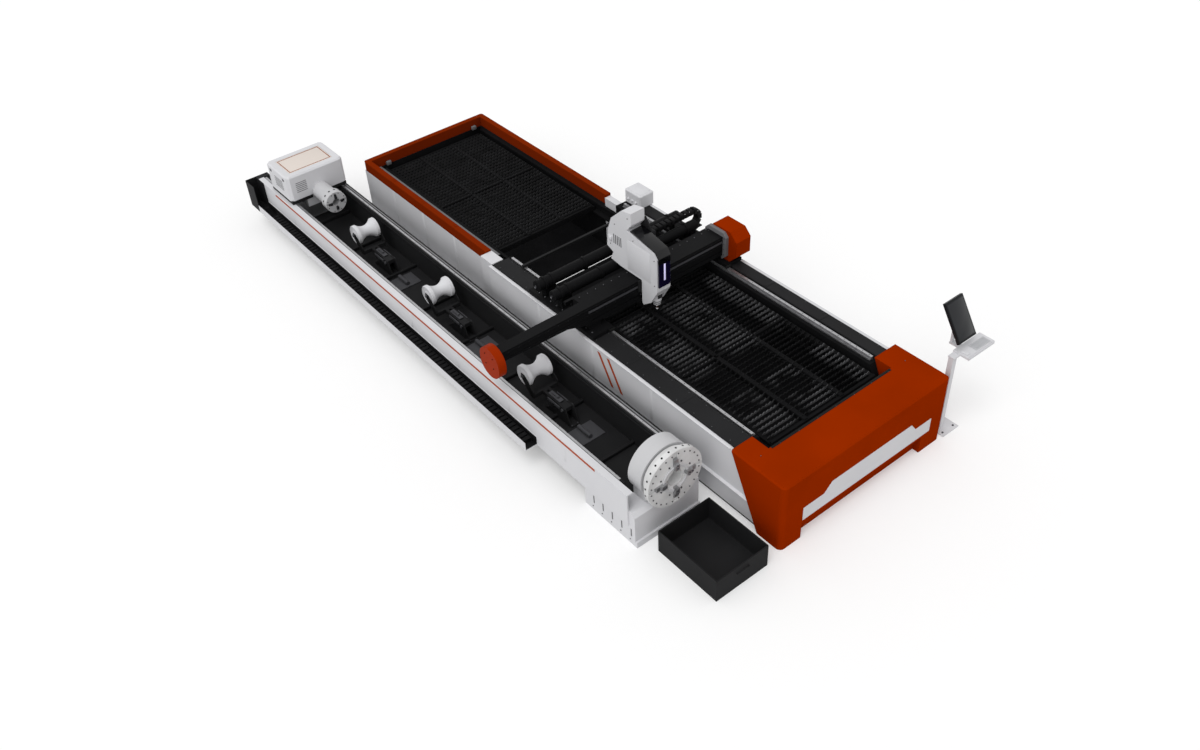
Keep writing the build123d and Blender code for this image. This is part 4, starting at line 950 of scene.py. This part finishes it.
for stiffener in range(7):
    rib_x = beam_high.x - 0.2 - stiffener * 0.33
    block(
        form, (rib_x - 0.006, beam_high.y, beam_low.z + 0.02),
        (rib_x + 0.006, rib_rear, beam_high.z - 0.03), 0.003,
    )
for flange_z in (beam_high.z - 0.05, beam_low.z + 0.02):
    block(
        form, (left + 0.09, beam_high.y, flange_z),
        (beam_high.x - 0.06, rib_rear, flange_z + 0.015), 0.003,
    )
finish("beam_stiffeners", form, gantry_black, "gantry")
round_bars = ((front + 4.5, 1.26, 0.08), (front + 4.15, 1.29, 0.075))
collar_places = (left + 0.14, left + 0.26, left + 0.8, left + 1.6, left + 2.3)
form = bmesh.new()
for bar_y, bar_z, bar_radius in round_bars:
    brim = bar_radius + 0.008
    crest = bar_radius + 0.012
    collar = [
        (-0.02, bar_radius), (-0.02, brim), (-0.016, crest), (0.016, crest), (0.02, brim),
        (0.02, bar_radius),
    ]
    for collar_x in collar_places:
        turned(form, collar, (collar_x, bar_y, bar_z), (1, 0, 0), 48)
    bar_end = [
        (-0.016, 0), (-0.016, bar_radius * 0.6), (-0.008, bar_radius * 0.96), (0.001, bar_radius)
    ]
    turned(form, bar_end, (bars_low.x, bar_y, bar_z), (1, 0, 0), 48)
finish("bar_collars", form, gantry_black, "gantry")
form = bmesh.new()
for bar_y, bar_z, _ in round_bars:
    bolt(form, (bars_low.x - 0.016, bar_y, bar_z), (-1, 0, 0), 0.02, 20)
for bolt_x, step in product((saddle_low.x + 0.05, saddle_high.x - 0.05), range(10)):
    bolt_y = saddle_low.y + 0.08 + step * 0.125
    bolt(form, (bolt_x, bolt_y, saddle_low.z + 0.05), (0, 0, 1), 0.01)
finish("saddle_bolts", form, bolt_steel, "gantry")
form = bmesh.new()
for rail_x, wiper_y in product(rail_lines, (saddle_low.y, saddle_low.y + 1.26)):
    block(
        form, (rail_x - 0.045, wiper_y - 0.02, saddle_low.z + 0.001),
        (rail_x + 0.045, wiper_y, saddle_low.z + 0.04), 0.004,
    )
finish("saddle_wipers", form, black_rubber, "gantry")
cap_low, cap_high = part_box("arm_cap")
form = bmesh.new()
block(
    form, (cap_high.x, beam_front - 0.02, beam_high.z - 0.19),
    (cap_high.x + 0.02, beam_front + 0.18, beam_high.z + 0.004), 0.006,
)
for bolt_y, bolt_z in product(
    (beam_front, beam_front + 0.16), (beam_high.z - 0.17, beam_high.z - 0.02)
):
    bolt(form, (cap_low.x + 0.001, bolt_y, bolt_z), (-1, 0, 0), 0.008)
finish("arm_collar", form, gantry_black, "gantry")
end_low, end_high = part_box("end_housing")
form = bmesh.new()
for louvre in range(7):
    louvre_z = end_low.z + 0.15 + louvre * 0.028
    block(
        form, (end_high.x - 0.001, end_low.y + 0.19, louvre_z),
        (end_high.x + 0.003, end_high.y - 0.19, louvre_z + 0.01), 0.001,
    )
for bolt_y, bolt_z in product(
    (end_low.y + 0.15, end_high.y - 0.15), (end_low.z + 0.1, end_high.z - 0.1)
):
    bolt(form, (end_high.x, bolt_y, bolt_z), (1, 0, 0), 0.008)
finish("end_louvres", form, rust_paint, "gantry")
bracket_low, bracket_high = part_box("housing_bracket")
form = bmesh.new()
for bolt_y, step in product((bracket_low.y + 0.035, bracket_high.y - 0.035), range(4)):
    bolt_z = bracket_low.z + 0.08 + step * 0.085
    bolt(form, (bracket_low.x, bolt_y, bolt_z), (-1, 0, 0), 0.009)
finish("bracket_bolts", form, bolt_steel, "gantry")

# Cutting head: a white moulded cover on the X carriage, with a glossy dark hood over its
# brow, a lit strip in its navy front, finned motors on its far side and, below, the lens
# barrel with its rings, copper tip and a lens drawer.
glass_black = painted("glass_black", (14, 8, 40), rough=0.14, tone=0.1, peel=0.0, coat=0.6)
hood_black = painted(
    "hood_black", (12, 12, 14), rough=0.2, tone=0.15, peel=0.02, coat=0.4, edge=0.008
)
strip_glow = painted("strip_glow", (206, 200, 240), rough=0.3, tone=0.05)
tree = strip_glow.node_tree
shader = tree.nodes["Principled BSDF"]
shader.inputs["Emission Strength"].default_value = 0.5
wire(tree, (tree.nodes["tones"], "Color", shader, "Emission Color"))
copper_tip = painted(
    "copper_tip", (184, 110, 62), rough=0.25, tone=0.1, cloud_size=30, edge=0.001,
    metal=0.95,
)
dress(black_paint, "head_carriage")
dress(pale_paint, "head_housing", "cutting_head")
dress(glass_black, "head_panel")
head_low, head_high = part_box("head_housing")
glass_low, glass_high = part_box("head_panel")
strip_x = (glass_low.x + glass_high.x) / 2
form = bmesh.new()
block(
    form, (strip_x - 0.014, glass_low.y - 0.002, glass_low.z + 0.09),
    (strip_x + 0.014, glass_low.y + 0.002, glass_low.z + 0.34), 0.0018,
)
finish("light_strip", form, strip_glow, "head")
hood_rise = 0.012
hood_left = glass_low.x - 0.006
hood_foot = 1.84
outer_y = glass_low.y - 0.004
inner_y = glass_low.y + 0.012
brow_y = glass_low.y + 0.075
brow_z = 2.005
tail_y = glass_high.y - 0.01
tail_z = glass_high.z
outline = [
    (outer_y, hood_foot), (outer_y, 1.93), (brow_y - 0.02, brow_z + 0.004),
    (tail_y - 0.05, tail_z + hood_rise), (tail_y, tail_z + hood_rise * 0.6),
    (tail_y, tail_z - 0.012), (brow_y, brow_z - 0.012), (inner_y, 1.92), (inner_y, hood_foot),
]
form = bmesh.new()
sweep(
    form, [(hood_left, point_y, point_z) for point_y, point_z in outline],
    (glass_high.x - glass_low.x + 0.012, 0, 0),
)
bmesh.ops.recalc_face_normals(form, faces=form.faces[:])
bmesh.ops.bevel(
    form, geom=[edge for edge in form.edges if edge.calc_face_angle(0) > 0.5], offset=0.004,
    segments=2, affect="EDGES", profile=0.5, material=-1,
)
finish("head_hood", form, hood_black, "head")
motor_places = ((front + 3.86, 2.0, 0.072, 0.14), (front + 3.71, 1.84, 0.0576, 0.098))
plate_x = head_high.x + 0.018
form = bmesh.new()
for motor_y, motor_z, motor_radius, motor_length in motor_places:
    for fin in range(8):
        fin_x = plate_x + 0.012 + fin * (motor_length - 0.03) / 8
        rod(
            form, (fin_x, motor_y, motor_z), (fin_x + 0.006, motor_y, motor_z),
            motor_radius + 0.007, sides=32,
        )
    motor_end = [
        (0, motor_radius + 0.001), (0.004, motor_radius * 0.9), (0.02, motor_radius * 0.55),
        (0.024, 0),
    ]
    turned(form, motor_end, (plate_x + motor_length, motor_y, motor_z), (1, 0, 0), 32)
block(form, (plate_x, front + 3.56, 1.62), (plate_x + 0.09, front + 3.64, 2.02), 0.01)
block(form, (plate_x, front + 3.78, 1.56), (plate_x + 0.05, front + 3.92, 1.76), 0.008)
finish("head_motors", form, black_paint, "head")
form = bmesh.new()
block(form, (plate_x + 0.05, front + 3.8, 1.58), (plate_x + 0.056, front + 3.9, 1.74), 0.002)
block(form, (plate_x + 0.005, front + 3.93, 1.66), (plate_x + 0.03, front + 4.0, 1.8), 0.004)
finish("head_pale_plates", form, chuck_paint, "head")
head_screws = (
    (3.22, 1.5), (3.22, 1.88), (3.5, 1.22), (3.62, 1.98), (3.72, 2.26), (3.98, 2.06), (4.08, 1.72)
)
form = bmesh.new()
for (screw_y, screw_z), (face_x, facing) in product(
    head_screws, ((head_low.x, -1), (head_high.x, 1))
):
    bolt(form, (face_x, front + screw_y, screw_z), (facing, 0, 0), 0.007)
for louvre in range(5):
    louvre_y = front + 3.86 + louvre * 0.035
    block(
        form, (head_low.x - 0.002, louvre_y, 1.76), (head_low.x + 0.002, louvre_y + 0.014, 1.9),
        0.001,
    )
finish("head_screws", form, plate_grey, "head")
cover_inner = head_low.x + 0.001
form = bmesh.new()
block(form, (head_low.x - 0.003, front + 3.3, 1.5), (cover_inner, front + 3.74, 1.94), 0.0018)
block(form, (head_low.x - 0.02, front + 4.04, 1.78), (cover_inner, front + 4.1, 1.84), 0.006)
finish("head_side_cover", form, pale_paint, "head")
barrel_low, barrel_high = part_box("cutting_head")
barrel_x = (barrel_low.x + barrel_high.x) / 2
barrel_y = front + 3.31
form = bmesh.new()
turned(
    form,
    [(0.0003, 0.006), (0.0003, 0.009), (0.02, 0.013), (0.022, 0.0165), (0.034, 0.0168),
     (0.05, 0.0166)],
    (barrel_x, barrel_y, barrel_low.z), (0, 0, 1), 40,
)
finish("nozzle_tip", form, copper_tip, "z_head")
form = bmesh.new()
for ring_z, ring_out in ((0.062, 0.021), (0.1, 0.0525), (0.13, 0.0525)):
    ring_foot = ring_out - 0.006
    turned(
        form, [(0, ring_foot), (0.003, ring_out), (0.014, ring_out), (0.017, ring_foot)],
        (barrel_x, barrel_y, barrel_low.z + ring_z), (0, 0, 1), 48,
    )
drawer_z = 1.27
block(
    form, (barrel_x - 0.03, barrel_y - 0.068, drawer_z - 0.03),
    (barrel_x + 0.03, barrel_y - 0.05, drawer_z + 0.03), 0.004,
)
rod(form, (barrel_x, barrel_y - 0.075, drawer_z), (barrel_x, barrel_y - 0.06, drawer_z), 0.013)
finish("barrel_rings", form, bolt_steel, "z_head")

# Operator's console: a slim post on an anchored base plate, a swivelling tray with rows of
# keys and a lip, and a flat screen in a black frame that faces the operator.
screen_black = painted("screen_black", (30, 31, 33), rough=0.35)
screen_glass = painted("screen_glass", (22, 24, 28), rough=0.1, tone=0.08, peel=0.0, coat=0.5)
key_grey = painted("key_grey", (196, 197, 200), rough=0.5)
dress(pale_paint, "console_stand", "console_tray")
dress(screen_black, "monitor")
stand_low, stand_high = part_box("console_stand")
tray_low, tray_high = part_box("console_tray")
tray_top = stand_high.z + 0.0503
key_size = 0.016
key_pitch = 0.019
key_left = left + 3.2
key_front = tray_low.y + 0.05
form = bmesh.new()
for row, column in product(range(5), range(13)):
    key_x = key_left + column * key_pitch
    key_y = key_front + row * key_pitch
    block(
        form, (key_x, key_y, tray_top + 0.006),
        (key_x + key_size, key_y + key_size, tray_top + 0.013), 0.002,
    )
block(
    form, (key_left - 0.012, key_front - 0.012, tray_top),
    (key_left + 0.258, key_front + 0.105, tray_top + 0.007), 0.003,
)
finish("console_keys", form, key_grey, "console_head")
form = bmesh.new()
block(
    form, (tray_low.x + 0.09, tray_low.y + 0.012, tray_top),
    (tray_high.x - 0.012, tray_low.y + 0.02, tray_top + 0.008), 0.002,
)
block(
    form, (tray_low.x + 0.12, tray_low.y + 0.05, tray_top),
    (tray_low.x + 0.18, tray_low.y + 0.15, tray_top + 0.012), 0.004,
)
finish("console_tray_lip", form, pale_paint, "console_head")
washer_foot = 0.0121
washer_top = 0.0145
nut_top = 0.024
form = bmesh.new()
for nut_x, nut_y in product(
    (stand_low.x + 0.05, stand_high.x - 0.05), (stand_low.y + 0.05, stand_high.y - 0.05)
):
    rod(form, (nut_x, nut_y, washer_foot), (nut_x, nut_y, washer_top), 0.014, sides=20)
    rod(form, (nut_x, nut_y, washer_top), (nut_x, nut_y, nut_top), 0.0105, sides=6)
finish("anchor_nuts", form, bolt_steel, "machine")
screen_centre = Vector((left + 3.13, front + 0.245, 1.552))
tilt = math.radians(33)
facing = Vector((0, -math.cos(tilt), math.sin(tilt)))
rise = Vector((0, math.sin(tilt), math.cos(tilt)))
turn = Matrix((Vector((1, 0, 0)), rise, facing)).transposed().to_4x4()
for name, material, half_width, half_height, low, high, slot in (
    ("screen_frame", screen_black, 0.156, 0.261, 0.0185, 0.0235, "screen_plastic"),
    ("screen_display", screen_glass, 0.142, 0.236, 0.0225, 0.0242, "glossy_black"),
):
    form = bmesh.new()
    block(
        form, (-half_width, -half_height, low), (half_width, half_height, high),
        (high - low) * 0.4,
    )
    if name == "screen_frame":
        button_y = -half_height + 0.011
        for button in range(5):
            button_x = 0.06 + button * 0.018
            rod(
                form, (button_x, button_y, high - 0.001), (button_x, button_y, high + 0.002),
                0.0045, sides=16,
            )
        for vent in range(9):
            vent_x = -0.1 + vent * 0.024
            block(form, (vent_x, 0.1, -0.0205), (vent_x + 0.012, 0.2, -0.0185), 0.0008)
    bmesh.ops.transform(form, matrix=Matrix.Translation(screen_centre) @ turn, verts=form.verts[:])
    finish(name, form, material, "screen")

# Studio: a plain pale floor under a white surround, lit by a broad soft lamp from almost
# overhead and by a broader one from the upper left.
floor_mesh = bpy.data.meshes.new("floor")
form = bmesh.new()
bmesh.ops.create_grid(form, x_segments=1, y_segments=1, size=60)
form.to_mesh(floor_mesh)
form.free()
floor = put("floor", floor_mesh)
floor_finish = bpy.data.materials.new("floor_finish")
floor_finish.use_nodes = True
tree = floor_finish.node_tree
shader = tree.nodes["Principled BSDF"]
shader.inputs["Base Color"].default_value = (0.76, 0.76, 0.76, 1)
shader.inputs["Roughness"].default_value = 0.9
shader.inputs["Specular IOR Level"].default_value = 0.1
shader.inputs["Emission Color"].default_value = (1, 1, 1, 1)
rays = add_node(tree, "ShaderNodeLightPath")
lift = add_node(tree, "ShaderNodeMath", {1: 0.24})
lift.operation = "MULTIPLY"
wire(tree, (rays, "Is Camera Ray", lift, 0), (lift, "Value", shader, "Emission Strength"))
floor_mesh.materials.append(floor_finish)

world = bpy.data.worlds.new("studio")
bpy.context.scene.world = world
world.use_nodes = True
tree = world.node_tree
background = tree.nodes["Background"]
background.inputs["Color"].default_value = (1, 1, 1, 1)
rays = add_node(tree, "ShaderNodeLightPath")
direct = add_node(tree, "ShaderNodeMath")
direct.operation = "MAXIMUM"
mirrored = add_node(tree, "ShaderNodeMath")
mirrored.operation = "MAXIMUM"
strength = add_node(tree, "ShaderNodeMapRange", {"To Min": 0.66, "To Max": 1.0})
wire(
    tree, (rays, "Is Camera Ray", direct, 0), (rays, "Is Transmission Ray", direct, 1),
    (direct, "Value", mirrored, 0), (rays, "Is Glossy Ray", mirrored, 1),
    (mirrored, "Value", strength, "Value"), (strength, "Result", background, "Strength"),
)
for name, energy, angle, toward in (
    ("soft_lamp", 0.56, 28, (-0.30, -0.12, 1)), ("fill_lamp", 0.82, 50, (-0.92, -0.32, 1.0))
):
    light = bpy.data.lights.new(name, "SUN")
    light.energy = energy
    light.angle = math.radians(angle)
    put(name, light).rotation_euler = Vector(toward).to_track_quat("Z", "Y").to_euler()

# Camera: high off the machine's front left corner, looking across it to the opposite
# corner, and rolled a little to one side.
camera_place = Vector((-7.5564, -10.7803, 10.0154))
camera_yaw = math.radians(36.548)
camera_pitch = math.radians(40.841)
camera_roll = math.radians(-3.537)
camera_data = bpy.data.cameras.new("camera")
camera_data.sensor_width = 36
camera_data.lens = 34.075
camera_data.clip_end = 200
camera = put("camera", camera_data)
forward = Vector((
    math.sin(camera_yaw) * math.cos(camera_pitch), math.cos(camera_yaw) * math.cos(camera_pitch),
    -math.sin(camera_pitch),
))
level_right = Vector((math.cos(camera_yaw), -math.sin(camera_yaw), 0))
level_up = level_right.cross(forward)
right = level_right * math.cos(camera_roll) + level_up * math.sin(camera_roll)
up = level_up * math.cos(camera_roll) - level_right * math.sin(camera_roll)
turn = Matrix((right, up, -forward)).transposed()
camera.matrix_world = Matrix.Translation(camera_place) @ turn.to_4x4()
bpy.context.scene.camera = camera
bpy.context.scene.view_settings.view_transform = "Standard"
